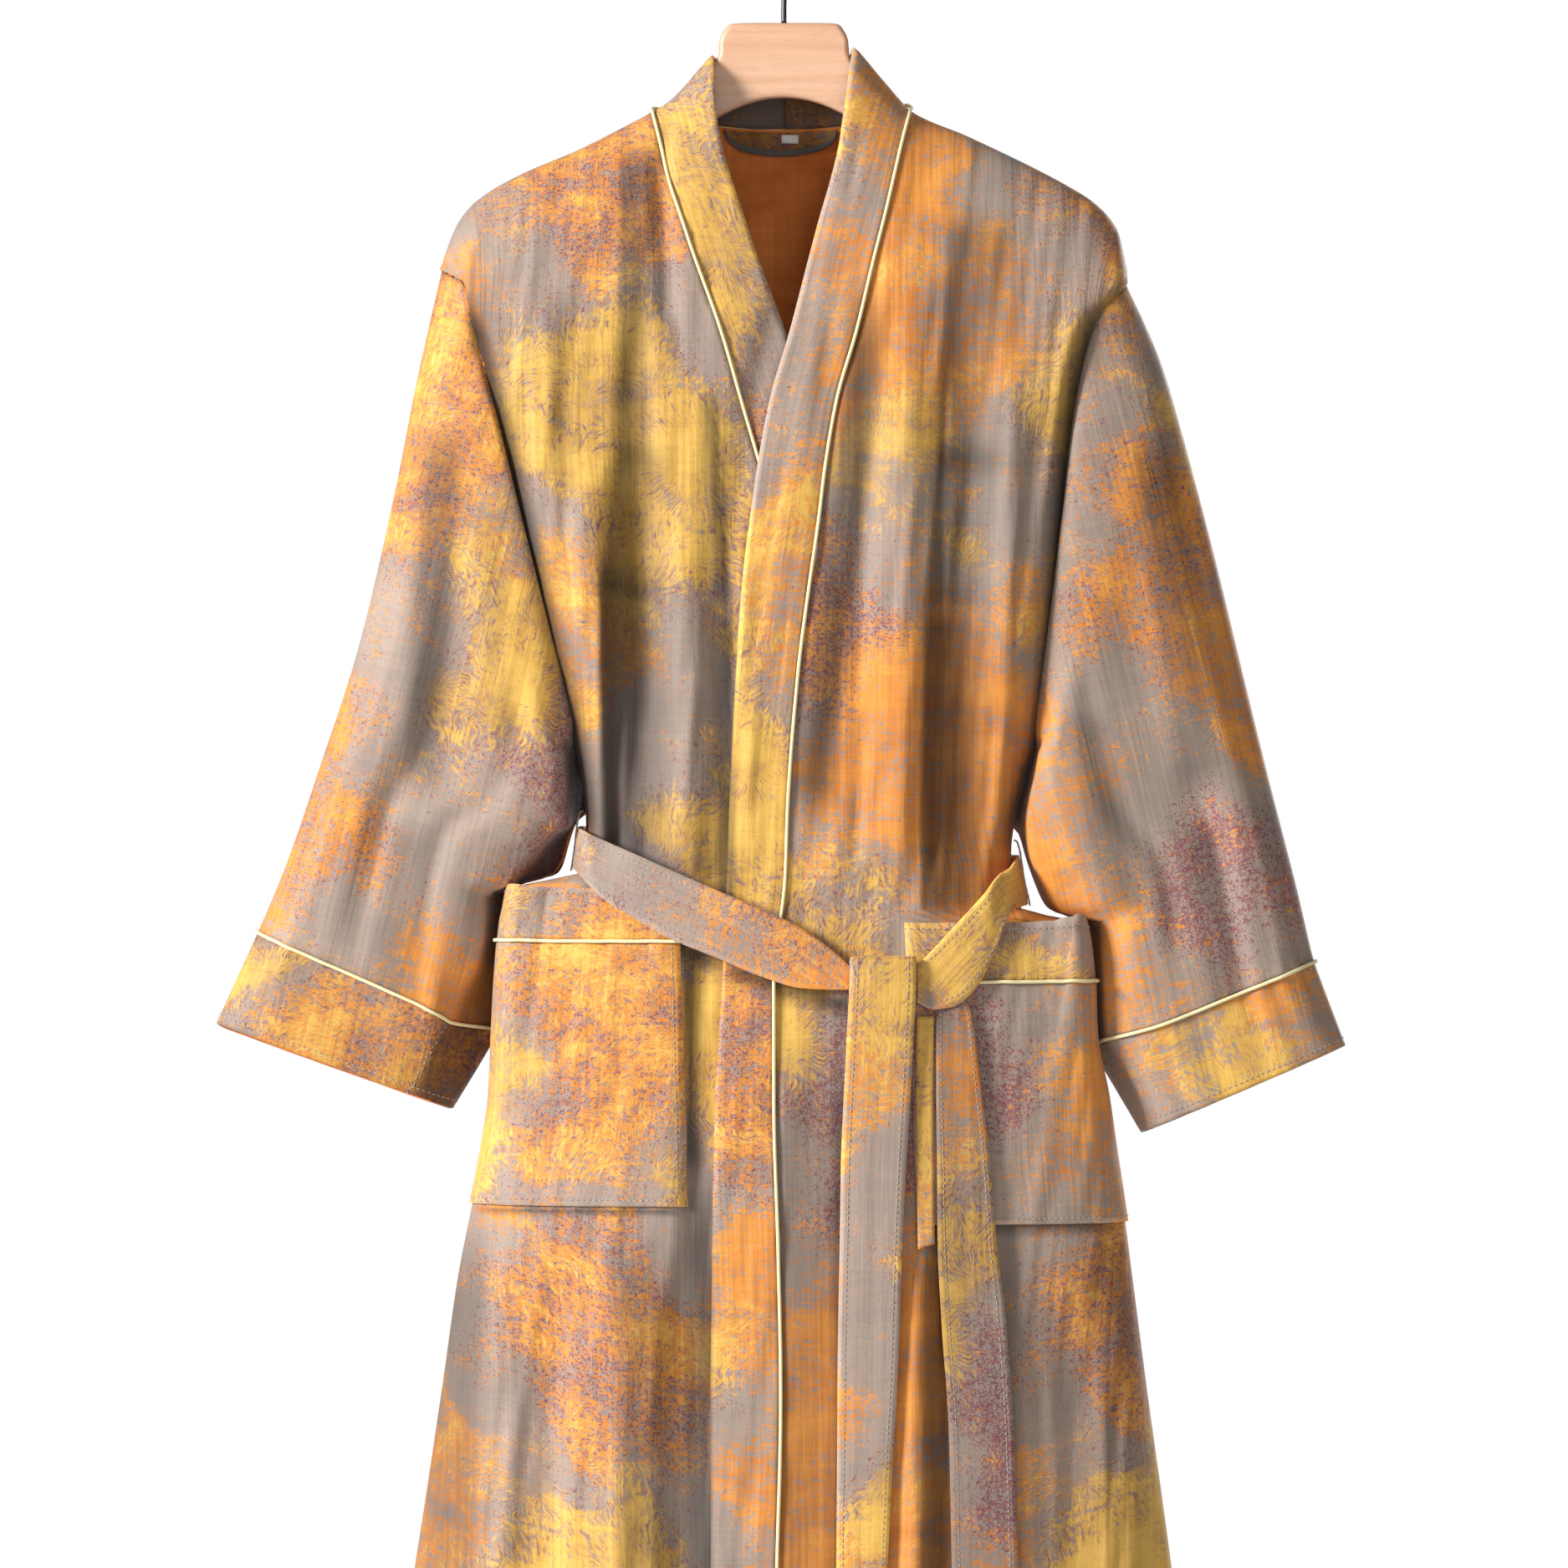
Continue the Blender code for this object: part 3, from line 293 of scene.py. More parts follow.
# Top line of the cloth over the hanger: shoulders, then the collar lying on the hanger's neck
RIDGE = table(
    "across down",
    (-249, 262),
    (-246, 250),
    (-233, 217),
    (-220, 202),
    (-190, 184),
    (-148, 166),
    (-95, 139),
    (-85, 134),
    (-51, 97),
    (-38, 80),
    (0, 74),
    (38, 80),
    (50, 92),
    (71, 117),
    (91, 138),
    (134, 157),
    (206, 193),
    (224, 205),
    (239, 223),
    (247, 255),
    (250, 262),
)
# The collar's seam on the panel and its free edge, for the right (under) and left (over) fronts
COLLAR_LINES = table(
    "down seam_right free_right seam_left free_left",
    (90, -47, -52, 49, 49),
    (138, -95, -48.5, 91, 43),
    (144, -93.5, -48, 89.5, 42),
    (165, -88, -44, 84, 39),
    (190, -82, -37, 78, 33),
    (214, -74, -29, 72.5, 26),
    (244, -64, -19, 65, 18),
    (298, -45, 1, 52, 4),
    (346, -31, 17, 38, -10),
    (394, -17, 31, 29.5, -19),
    (430, -6, 41, 25, -24),
    (480, 5, 50, 18, -30),
    (540, 11, 56, 10.5, -34),
    (634, 15, 61, 3, -39),
    (690, 16, 62, 1, -41),
    (763, 16, 63, -7, -44),
    (844, 15, 63, -7, -49),
    (950, 15, 63, -4, -51),
    (1058, 15, 63, -2, -52),
    (1183, 15, 63, -5, -52),
    (1339, 15, 63, -8, -53),
)
# Sections of the collar round the neck: seam and free edge down the front, up to the hanger's neck
NECK_SECTIONS = table(
    "seam free",
    (144, 107),
    (155, 123),
    (175, 149),
    (206, 191),
    (245, 242),
    (296, 296),
    (420, 420),
)
# Folds: a ridge (height over 0) or a trough along a line from its top to its bottom
FOLDS = tables(
    "x_top top x_end end width height",
    front=(
        (-91, 150, -84, 300, 7, -4.0),
        (-108, 255, -94, 640, 15, -7.0),
        (-140, 360, -134, 694, 17, 7.0),
        (-106, 380, -102, 694, 18, -7.0),
        (-72, 430, -66, 700, 14, 4.0),
        (-172, 250, -150, 560, 16, 4.0),
        (36, 270, 26, 480, 9, -3.0),
        (86, 190, 78, 700, 20, 6.0),
        (134, 230, 122, 700, 16, -7.0),
        (168, 300, 152, 690, 12, 4.0),
        (-74, 925, -78, 1400, 12, -7.0),
        (-108, 925, -128, 1400, 19, 6.0),
        (-160, 930, -176, 1400, 18, -7.0),
        (-206, 950, -222, 1400, 18, 6.0),
        (96, 900, 92, 1400, 12, 7.0),
        (118, 900, 116, 1400, 10, -6.0),
        (160, 950, 158, 1400, 16, 5.0),
        (206, 950, 212, 1400, 20, -6.0),
        (250, 960, 252, 1400, 16, 4.0),
    ),
    back=(
        (-150, 240, -104, 690, 18, 6.0),
        (-96, 230, -62, 690, 15, -7.0),
        (-34, 200, -22, 690, 17, 5.0),
        (22, 240, 22, 690, 13, -6.0),
        (84, 220, 66, 690, 17, 6.0),
        (142, 240, 104, 690, 18, -7.0),
        (-92, 715, -190, 1400, 22, 8.0),
        (-48, 715, -118, 1400, 22, -8.0),
        (-14, 715, -40, 1400, 20, 7.0),
        (30, 715, 44, 1400, 20, -8.0),
        (72, 715, 120, 1400, 22, 7.0),
        (112, 715, 196, 1400, 24, -8.0),
    ),
)
# Sleeve sections: outer and inner point in the front view, half depth, and how far back the middle lies
SLEEVES = tables(
    "out_x out_down in_x in_down depth back",
    right=(
        (-262, 325, -151, 628, 44, 0),
        (-281, 420, -150, 655, 41, 1),
        (-306, 525, -163, 677, 37, 2),
        (-332, 605, -202, 684, 33, 3),
        (-356, 675, -212, 740, 30, 4),
        (-377, 727, -217, 797, 28, 4),
    ),
    left=(
        (268, 312, 178, 632, 44, 0),
        (302, 430, 172, 661, 41, 1),
        (329, 540, 186, 692, 37, 2),
        (350, 625, 223, 709, 33, 3),
        (368, 695, 229, 762, 30, 4),
        (380, 748, 233, 808, 28, 4),
    ),
)
# The cuffs' hems, as one more section of each sleeve
CUFF_ENDS = tables(
    "out_x out_down in_x in_down depth back",
    right=((-407, 792, -238, 853, 27, 4),),
    left=((403, 808, 256, 871, 27, 4),),
)
# Folds along a sleeve: angle round it from the top over the front, how far that moves on the way down,
# half width in degrees, start and end along it, height
SLEEVE_FOLDS = table(
    "angle drift width start end height",
    (48, 0, 15, 0.15, 1.3, 5.0),
    (82, 0, 15, 0.10, 0.9, -5.0),
    (118, 0, 16, 0.25, 1.2, 4.5),
    (236, 0, 16, 0.20, 1.2, 4.5),
    (272, 0, 16, 0.10, 1.0, -5.0),
    (312, 0, 16, 0.20, 1.3, 5.0),
)
# Smaller creases of each sleeve
SLEEVE_CREASES = tables(
    "angle drift width start end height",
    right=(
        (62, 6, 8, 0.15, 1.05, 2.6),
        (78, 4, 5, 0.30, 1.10, -2.2),
        (112, -8, 7, 0.06, 0.80, -3.4),
        (134, -4, 8, 0.08, 0.95, 2.2),
        (96, 16, 6, 0.50, 1.25, -2.4),
        (30, 4, 7, 0.10, 0.90, -1.8),
        (250, 8, 8, 0.10, 0.95, -2.6),
        (290, -6, 7, 0.20, 1.05, 2.2),
        (215, 4, 8, 0.30, 1.15, -2.0),
    ),
    left=(
        (126, 2, 8, 0.05, 1.05, 2.8),
        (104, -4, 6, 0.10, 0.95, -3.2),
        (60, 6, 9, 0.20, 1.10, 2.4),
        (76, 0, 5, 0.45, 1.20, -2.4),
        (142, 0, 6, 0.35, 1.15, -2.2),
        (34, 2, 7, 0.10, 0.80, -1.8),
        (246, -6, 8, 0.10, 0.95, -2.6),
        (286, 6, 7, 0.20, 1.05, 2.2),
        (222, 4, 8, 0.30, 1.15, -2.0),
    ),
)
# Where the sleeves' inner edges turn under, and how far in and back their under sides then go
TUCKS = tables(
    "down roll tip deep",
    right=(
        (584, -155, -151, 4),
        (600, -156, -144.5, 20),
        (620, -155, -140.5, 20),
        (634, -154.5, -139.5, 20),
        (641, -154, -142, 20),
        (649, -154, -151, 19),
        (658, -166, -154.5, 18),
        (676, -181, -158, 18),
        (684, -187, -162, 18),
        (687, -189, -167, 18),
        (690, -191, -180, 18),
        (692, -192.5, -188, 18),
        (694, -194, -191, 18),
        (700, -213.5, -191.5, 19),
        (712, -213.5, -192.5, 20),
        (728, -214.5, -195, 20),
        (749, -219, -197.5, 20),
        (778, -234, -201, 20),
        (800, -240, -204, 19),
    ),
    left=(
        (584, 184, 181, 4),
        (600, 181, 175, 19),
        (617, 178, 168.5, 19),
        (632, 174.5, 163.5, 19),
        (648, 172.5, 162, 19),
        (658, 173, 170, 19),
        (672, 175.5, 173.5, 18),
        (691, 184, 180, 18),
        (708, 192, 188, 18),
        (712, 195, 193, 18),
        (714, 200, 198, 18),
        (716, 207, 205, 18),
        (718, 226, 211, 19),
        (722, 226.5, 211, 20),
        (740, 227, 212, 20),
        (780, 228.5, 216, 20),
        (812, 230, 220, 19),
    ),
)
# Soft shadows that gather in the folds, each along a line from its top to its bottom
SHADOWS = tables(
    "x_top top x_end end left right dark",
    front=(
        # -X chest: the trough beside the ridge, and the line at the collar band
        (-113, 150, -115, 410, 4, 22, 0.42),
        (-115, 370, -128, 490, 4, 36, 0.42),
        (-128, 450, -127, 720, 4, 46, 0.54),
        (-52, 330, -40, 500, 9, 4, 0.50),
        (-40, 470, -41, 760, 8, 5, 0.60),
        (-165, 260, -150, 430, 10, 6, 0.16),
        # +X chest: beside the piping, then past the bright ridge
        (64, 250, 18, 660, 14, 13, 0.52),
        (120, 200, 113, 410, 4, 46, 0.34),
        (114, 370, 103, 500, 4, 44, 0.42),
        (103, 470, 100, 730, 4, 44, 0.54),
        # skirt
        (-54, 860, -55, 1500, 16, 4, 0.60),
        (-114, 900, -104, 1500, 10, 26, 0.30),
        (-222, 900, -246, 1500, 34, 16, 0.34),
        (-1, 760, 1, 1500, 5, 46, 0.26),
        (42, 770, 40, 1500, 8, 3, 0.34),
        (116, 800, 104, 1500, 16, 10, 0.50),
        (160, 880, 168, 1500, 8, 6, 0.26),
        (226, 900, 240, 1500, 14, 24, 0.22),
        # under the belt and beside the pockets
        (-158, 697, -40, 750, 10, 3, 0.55),
        (-46, 748, 54, 780, 10, 3, 0.55),
        (-228, 922, -66, 922, 5, 1, 0.50),
        (90, 935, 240, 935, 5, 1, 0.50),
        (118, 792, 184, 712, 8, 2, 0.45),
        (-69, 720, -68, 905, 2, 9, 0.50),
        (-158, 726, -222, 788, 30, 30, 0.55),
        (176, 744, 222, 800, 30, 30, 0.55),
    ),
    back=(
        (-96, 200, -62, 720, 12, 22, 0.34),
        (22, 200, 22, 720, 8, 18, 0.30),
        (142, 200, 104, 720, 8, 26, 0.34),
        (-48, 700, -118, 1500, 12, 30, 0.32),
        (30, 700, 44, 1500, 10, 28, 0.30),
        (112, 700, 196, 1500, 14, 30, 0.32),
    ),
    sleeve_right=(
        (-243, 350, -262, 640, 14, 16, 0.36),
        (-212, 420, -202, 600, 10, 10, 0.16),
        (-262, 640, -290, 800, 16, 16, 0.22),
    ),
    sleeve_left=(
        (258, 360, 296, 640, 14, 16, 0.36),
        (296, 640, 318, 800, 14, 14, 0.22),
        (212, 560, 246, 720, 16, 16, 0.26),
    ),
)
# Pockets: inner edge at the top and bottom, top edge, line of the piping, bottom edge
POCKETS = {
    "right": dict(side=-1, inner_top=-75, inner_end=-68, top=695, seam=733, end=921, gape_at=0.28, gape=10.5),
    "left": dict(side=1, inner_top=86, inner_end=95, top=720, seam=762, end=934, gape_at=0.27, gape=10.5),
}
# Belt from inside the knot round the wearer's right side, the back and the left side to the knot
BELT_RIGHT = table(
    "x top end clear",
    (54, 753, 766, 5.8),
    (46, 749, 767, 5.6),
    (38, 742, 767, 5.4),
    (14, 724, 766, 5.4),
    (-18, 709, 757, 5.4),
    (-46, 697, 745, 5.4),
    (-78, 683, 732, 5.4),
    (-105, 671, 717, 5.4),
    (-128, 661, 703, 5.2),
    (-141, 655, 691, 5.4),
)
BELT_ROUND_RIGHT = table(
    "angle face top end clear",
    (-84, -1, 652, 682, 4.0),
    (-90, 1, 651, 683, 2.4),
    (-82, 1, 651, 684, 2.4),
)
BELT_BACK = table(
    "x top end clear",
    (-132, 651, 687, 2.6),
    (-118, 652, 691, 2.6),
    (-95, 654, 696, 2.6),
    (-50, 657, 700, 2.6),
    (0, 660, 704, 2.6),
    (50, 664, 708, 2.6),
    (100, 668, 711, 2.6),
    (130, 670, 712, 2.6),
    (148, 671, 710, 2.6),
)
BELT_ROUND_LEFT = table(
    "angle face top end clear",
    (80, 1, 672, 709, 3.6),
    (90, 1, 672, 708, 3.4),
    (84, -1, 674, 709, 2.8),
)
BELT_LEFT = table(
    "x top end clear",
    (164, 679, 710, 4.2),
    (157, 683, 722, 6.0),
    (146, 695, 750, 6.0),
    (134, 708, 769, 6.4),
    (120, 723, 779, 6.6),
    (106, 738, 781, 6.4),
    (94.5, 750, 776, 6.2),
)
# The bar of the knot: how far it reaches across, its top and bottom, and how far it stands off the robe
KNOT = table(
    "x top end near far",
    (57, 753, 766, 6.6, 9.0),
    (60, 751, 769, 5.8, 10.2),
    (68, 750, 771, 5.6, 10.6),
    (80, 750, 771, 5.6, 10.6),
    (89, 751, 770, 5.8, 10.2),
    (92.5, 754, 767, 6.6, 9.0),
)
# Hanging ends: left and right edge of each seen from the front, and the distance from the robe
TAIL_INSIDE = table(
    "down left right clear",
    (758, 48, 84, 2.8),
    (750, 47.5, 86, 2.8),
    (745.5, 47, 92, 5.0),
    (743.5, 47, 93.5, 9.0),
)
TAIL_MAIN = table(
    "down left right clear",
    (746, 46.5, 94, 12.8),
    (756, 46.5, 94, 14.0),
    (772, 46, 93.5, 13.4),
    (800, 44.5, 92, 9.6),
    (840, 42.5, 90, 7.2),
    (886, 40.5, 87, 6.6),
    (946, 39.5, 84, 7.2),
    (1031, 38, 81, 4.2),
    (1110, 37.5, 76.5, 3.0),
    (1183, 37, 73, 3.6),
    (1262, 36.5, 69, 2.4),
)
TAIL_SECOND = table(
    "down left right clear",
    (768, 110, 127, 2.9),
    (787, 108, 134, 2.9),
    (832, 108, 139.5, 3.0),
    (886, 108.5, 146, 3.4),
    (946, 109, 151, 2.9),
    (1007, 112, 158, 2.4),
    (1082, 117, 163, 1.6),
    (1183, 119, 166, 2.6),
    (1275, 121, 168, 1.4),
)
INNER_TIE = table(
    "down left right clear",
    (786, 94.5, 106.5, 2.2),
    (840, 93.5, 106.0, 1.7),
    (900, 94.0, 106.5, 1.6),
    (949, 95.0, 107.0, 1.7),
)
# Thread loops at the side seams, over the belt
LOOPS = tables(
    "down out",
    right=(
        (640, 1.5),
        (641, 3.6),
        (647, 6.0),
        (666, 6.8),
        (678, 6.8),
        (683, 6.8),
    ),
    left=(
        (661, 1.5),
        (662, 3.6),
        (668, 6.0),
        (690, 6.8),
        (703, 7.0),
        (708, 7.4),
    ),
)
# Below this level a thread loop hangs straight on
LOOP_LEVEL = {"right": 682.0, "left": 706.0}
# Inside the back neck
FACING_X = (-43.0, 38.0)
FACING_LOW = 167.0
FACING_CLEAR = 1.6
BINDING_WIDE = 4.0
LABEL_X = -2.0
LABEL_DOWN = 152.0
LABEL_SIZE = (12.0, 6.0)
# Smaller creases laid over the folds, each a ridge or a trough as in FOLDS
CREASES = tables(
    "x_top top x_end end width height",
    front=(
        (-122, 420, -119, 700, 5, -4.0),
        (-131, 430, -129, 700, 5, 2.0),
        (-88, 150, -74, 330, 4, -2.2),
        (-99, 170, -84, 420, 5, 2.0),
        (-60, 330, -44, 640, 5, -1.8),
        (-160, 300, -150, 560, 6, -2.4),
        (-186, 280, -166, 480, 8, 1.6),
        (-30, 430, -22, 690, 6, 1.8),
        (-92, 560, -90, 700, 5, 1.8),
        (60, 300, 52, 700, 5, -2.2),
        (114, 300, 107, 700, 5, -3.4),
        (92, 300, 84, 700, 9, 2.2),
        (162, 280, 156, 690, 8, 2.6),
        (-62, 930, -64, 1400, 5, -2.2),
        (-90, 950, -100, 1400, 6, 2.2),
        (-118, 990, -142, 1400, 6, -2.4),
        (-146, 960, -158, 1400, 7, 2.4),
        (-190, 1000, -206, 1400, 7, 2.2),
        (-232, 1040, -250, 1400, 8, -2.6),
        (62, 840, 60, 1400, 6, -2.0),
        (104, 880, 104, 1400, 4, -2.6),
        (138, 950, 136, 1400, 7, -2.2),
        (176, 990, 180, 1400, 5, -2.2),
        (190, 1000, 196, 1400, 5, 2.2),
        (226, 990, 232, 1400, 6, 2.4),
        (262, 1040, 272, 1400, 7, -2.6),
    ),
    back=(
        (-118, 300, -84, 690, 6, -2.6),
        (-66, 260, -44, 690, 6, 2.4),
        (-8, 220, -4, 690, 6, -2.4),
        (50, 260, 44, 690, 6, 2.4),
        (112, 280, 88, 690, 7, -2.6),
        (170, 280, 130, 600, 7, 2.2),
        (-176, 280, -138, 600, 7, 2.2),
        (-120, 720, -160, 1400, 8, 2.6),
        (-70, 720, -82, 1400, 7, 2.4),
        (8, 720, 4, 1400, 7, -2.6),
        (52, 720, 84, 1400, 7, 2.4),
        (92, 720, 160, 1400, 8, -2.6),
        (150, 760, 250, 1400, 9, 2.6),
        (-150, 760, -250, 1400, 9, -2.6),
    ),
)
# Waves of a soft crumple: length across and down, slant, height
CRUMPLE = table(
    "across down slant height",
    (37, 210, 0.3, 0.35),
    (23, 150, 1.9, 0.28),
    (15, 95, 3.4, 0.22),
    (11, 130, 5.1, 0.16),
    (29, 61, 0.9, 0.20),
)
# Phase of the crumple's waves on each face
CRUMPLE_SHIFT = {"front": 0.0, "back": 1.7}
# Where each piece was cut from the woven repeat, in metres
PANEL_START = {"right": (0.46, -0.11), "left": (0.05, -0.10)}
BACK_START = (0.22, 0.31)
SLEEVE_START = {"right": (0.10, 0.12), "left": (0.06, 0.30)}
CUFF_START = {"right": (0.05, 0.48), "left": (0.24, 0.30)}
COLLAR_START = {"right": (0.36, 0.02), "left": (0.28, 0.42)}
POCKET_STARTS = {
    "right": ((0.42, 0.44), (0.45, 0.47)),
    "left": ((0.40, 0.30), (0.50, 0.10)),
}

# The woven repeat: soft patches of coloured yarn on the ground, in metres across and along the cloth
REPEAT = (0.62, 0.88)
PATCHES = table(
    "u v wide high lean orange yellow plum",
    (0.09, 0.12, 0.095, 0.150, 0.15, 1.00, 0.00, 0.05),
    (0.17, 0.20, 0.055, 0.090, 0.00, 0.80, 0.35, 0.00),
    (0.12, 0.29, 0.060, 0.060, -0.3, 0.45, 0.80, 0.20),
    (0.34, 0.06, 0.095, 0.085, -0.2, 0.70, 0.45, 0.75),
    (0.47, 0.02, 0.050, 0.070, 0.10, 0.85, 0.15, 0.30),
    (0.52, 0.17, 0.060, 0.060, 0.10, 0.10, 0.00, 0.60),
    (0.34, 0.27, 0.090, 0.120, -0.25, 0.20, 0.95, 0.80),
    (0.30, 0.40, 0.060, 0.070, 0.20, 0.75, 0.60, 0.30),
    (0.46, 0.38, 0.055, 0.070, 0.20, 0.20, 0.80, 0.75),
    (0.04, 0.41, 0.075, 0.090, 0.15, 0.60, 0.35, 0.80),
    (0.17, 0.50, 0.095, 0.120, -0.1, 1.00, 0.05, 0.10),
    (0.24, 0.61, 0.070, 0.085, 0.10, 0.90, 0.10, 0.10),
    (0.57, 0.53, 0.080, 0.110, 0.00, 0.80, 0.55, 0.80),
    (0.43, 0.58, 0.060, 0.090, 0.00, 0.25, 0.90, 0.70),
    (0.41, 0.70, 0.085, 0.075, 0.30, 0.20, 0.95, 0.80),
    (0.05, 0.66, 0.065, 0.095, 0.00, 0.30, 0.90, 0.80),
    (0.12, 0.78, 0.060, 0.070, 0.00, 0.10, 0.15, 0.75),
    (0.26, 0.78, 0.085, 0.070, 0.20, 0.95, 0.20, 0.15),
    (0.52, 0.80, 0.075, 0.075, -0.2, 0.75, 0.25, 0.55),
)
# How far a patch reaches, in its own half sizes
PATCH_REACH = 1.57
# The patches' outlines wander across (axis 0) and along (1), in waves that close with the repeat
WANDER = table(
    "axis height turns_u turns_v shift",
    (0, 0.016, 2, 5, 0.0),
    (0, 0.010, -3, 11, 1.0),
    (1, 0.018, 4, 3, 2.0),
    (1, 0.012, 9, -5, 0.0),
)
# The yarns that show on the knot: orange, yellow and plum, and its light
KNOT_YARNS = (0.1, 0.0, 0.3, 1.0)
# Fields that break the colour up, on the cloth's own map: repeats a metre across and along, detail,
# roughness, twist, and a shift that parts them
FIELDS = {
    "ragged": (14, 20, 6.0, 0.64, 0.4, 0.0),
    "streak": (40, 190, 2.0, 0.55, 0.0, 3.1),
    # flecks of 2 to 4 mm, drawn coarser than the real yarn floats of 1 mm so that they show
    "orange": (280, 400, 1.5, 0.6, 0.9, 7.7),
    "plum": (400, 400, 1.0, 0.6, 1.6, 11.3),
    # vertical slubs of the warp, 2 to 4 mm apart
    "slub": (300, 7, 3.0, 0.6, 0.0, 23.3),
    # wefts, drawn near 2 mm apart where the real ones lie at 0.6 mm, so that they show
    "weft": (14, 500, 2.0, 0.5, 0.0, 29.1),
    "warp": (480, 16, 1.0, 0.5, 0.0, 31.7),
    # shallow crinkle that the pattern's floats leave in the plain ground
    "crinkle": (150, 12, 2.0, 0.55, 0.25, 37.5),
}
# Yarns laid over the ground, first to last: weight channel, field, how ragged, how streaked, lift, sharpness
YARNS = {
    "plum": ("Blue", "plum", 1.5, 0.5, -1.12, 0.27),
    "orange": ("Red", "orange", 2.0, 0.9, -1.58, 0.31),
    "yellow": ("Green", "leaf", 2.0, 0.4, -1.41, 0.27),
}
# How far the stipple spreads its threshold
STIPPLE = 2.7
# Leaves: sway in metres, stems a metre (about 80 mm apart), how far under its spray each is rooted,
# and leaves round the stem and outwards, 5 mm long and 1 mm wide
LEAF_SWAY = 0.03
STEMS = 12.0
STEM_ROOT = 0.035
LEAVES_AROUND = 26.0
LEAVES_OUT = 125.0


def smooth_read(keys, values, at):
    """Monotone cubic interpolation, level at its turning points so that nothing overshoots."""
    at = np.clip(np.asarray(at, float), keys[0], keys[-1])
    step = np.diff(keys)
    slope = np.diff(values) / step
    before, after = slope[:-1], slope[1:]
    same = before * after > 0
    tangent = np.zeros(len(keys))
    tangent[1:-1][same] = 2 * before[same] * after[same] / (before + after)[same]
    tangent[0], tangent[-1] = slope[0], slope[-1]
    i = np.clip(np.searchsorted(keys, at) - 1, 0, len(step) - 1)
    u = (at - keys[i]) / step[i]
    low = 2 * u**3 - 3 * u**2 + 1
    bend = (u**3 - 2 * u**2 + u) * tangent[i] + (u**3 - u**2) * tangent[i + 1]
    return low * values[i] + (1 - low) * values[i + 1] + step[i] * bend


def read(tab, column, at, key="down"):
    """A table's column at places between its rows."""
    return smooth_read(tab[key], tab[column], at)


def ease(u):
    """From 0 to 1, level at both ends."""
    u = np.clip(u, 0, 1)
    return u * u * (3 - 2 * u)


def between(at, start, end, rise, fall):
    """1 from start to end, easing in over rise and out over fall."""
    return ease((at - start) / rise) * ease((end - at) / fall)


def bell(off, width):
    """1 at the middle, falling away on both sides."""
    return np.exp(-((off / width) ** 2))


def power(value, exponent):
    """A signed power, for superellipses."""
    return np.sign(value) * np.abs(value) ** exponent


def unit(vectors):
    """Vectors brought to the length 1."""
    return vectors / np.maximum(np.linalg.norm(vectors, axis=-1, keepdims=True), 1e-9)


def folds(face, x, down):
    """Height of the folds and creases of the front or the back, each one fading out at its ends."""
    height = np.zeros(np.broadcast(x, down).shape)
    for tab in (FOLDS[face], CREASES[face]):
        for x0, top, x1, end, width, rise in rows_of(tab):
            along = (down - top) / (end - top)
            middle = x0 + (x1 - x0) * np.clip(along, 0, 1)
            height = height + rise * between(along, 0, 1, *FOLD_FADE) * bell(x - middle, width)
    for across, length, slant, rise in rows_of(CRUMPLE):
        turn = 2 * math.pi * (x / across + down / length)
        height = height + rise * np.sin(turn + slant + CRUMPLE_SHIFT[face])
    return height


def groove(x, down):
    """How deep the front and the back dip beside the sleeves."""
    right, left = read(SIDES, "right", down), read(SIDES, "left", down)
    near = np.minimum(np.abs(x - right), np.abs(left - x))
    return GROOVE * between(down, *GROOVE_SPAN) * bell(near, GROOVE_WIDE)


def ridge_down(x):
    """The top line of the cloth over the hanger."""
    return read(RIDGE, "down", x, "across")


def hanging(x, down):
    """How much of its full depth the cloth has reached below the shoulder line."""
    drop = np.clip((down - ridge_down(x)) / DRAPE, 0, 1)
    return (1 - (1 - drop) ** DRAPE_ROUND) ** (1 / DRAPE_ROUND)


def body_base(face, angle, down):
    """A point of the robe's outer form: angle -90 is the right side seam, 90 the left one."""
    turn = np.radians(angle)
    right, left = read(SIDES, "right", down), read(SIDES, "left", down)
    x = (left + right) / 2 + (left - right) / 2 * power(np.sin(turn), 2 / ROUNDNESS)
    full, edge = read(DEPTHS, face, down), read(DEPTHS, "edge", down)
    bulge = power(np.cos(turn), 2 / ROUNDNESS)
    fade = ease(np.cos(turn) / FOLD_EDGE)
    depth = (edge + (full - edge) * bulge) * hanging(x, down) + folds(face, x, down) * fade
    depth = FACE_Y[face] * (depth - groove(x, down))
    return np.stack(np.broadcast_arrays(x, depth, -np.asarray(down, float)), axis=-1)


def body(face, angle, down, out=0.0):
    """The same point moved out along the surface's normal."""
    angle, down, out = np.broadcast_arrays(np.asarray(angle, float), np.asarray(down, float), out)
    across = body_base(face, angle + ANGLE_STEP, down) - body_base(face, angle - ANGLE_STEP, down)
    below = body_base(face, angle, down + DOWN_STEP) - body_base(face, angle, down - DOWN_STEP)
    normal = unit(np.cross(across, below)) * FACE_Y[face]
    return body_base(face, angle, down) + normal * out[..., None]


def angle_of(x, down):
    """The angle at which the robe's form has this distance across."""
    right, left = read(SIDES, "right", down), read(SIDES, "left", down)
    share = np.clip((x - (left + right) / 2) / ((left - right) / 2), -1, 1)
    return np.degrees(np.arcsin(power(share, ROUNDNESS / 2)))


def at_place(face, x, down, out=0.0):
    """A point of the robe given by its distances across and down."""
    return body(face, angle_of(x, down), down, out)


def lap(x, down):
    """How far in the right front goes where the left one lies over it."""
    edge = read(COLLAR_LINES, "free_left", down)
    return LAP_DEPTH * ease((x - edge + LAP_LEAD) / LAP_SLOPE) * ease((down - LAP_TOP) / LAP_RISE)


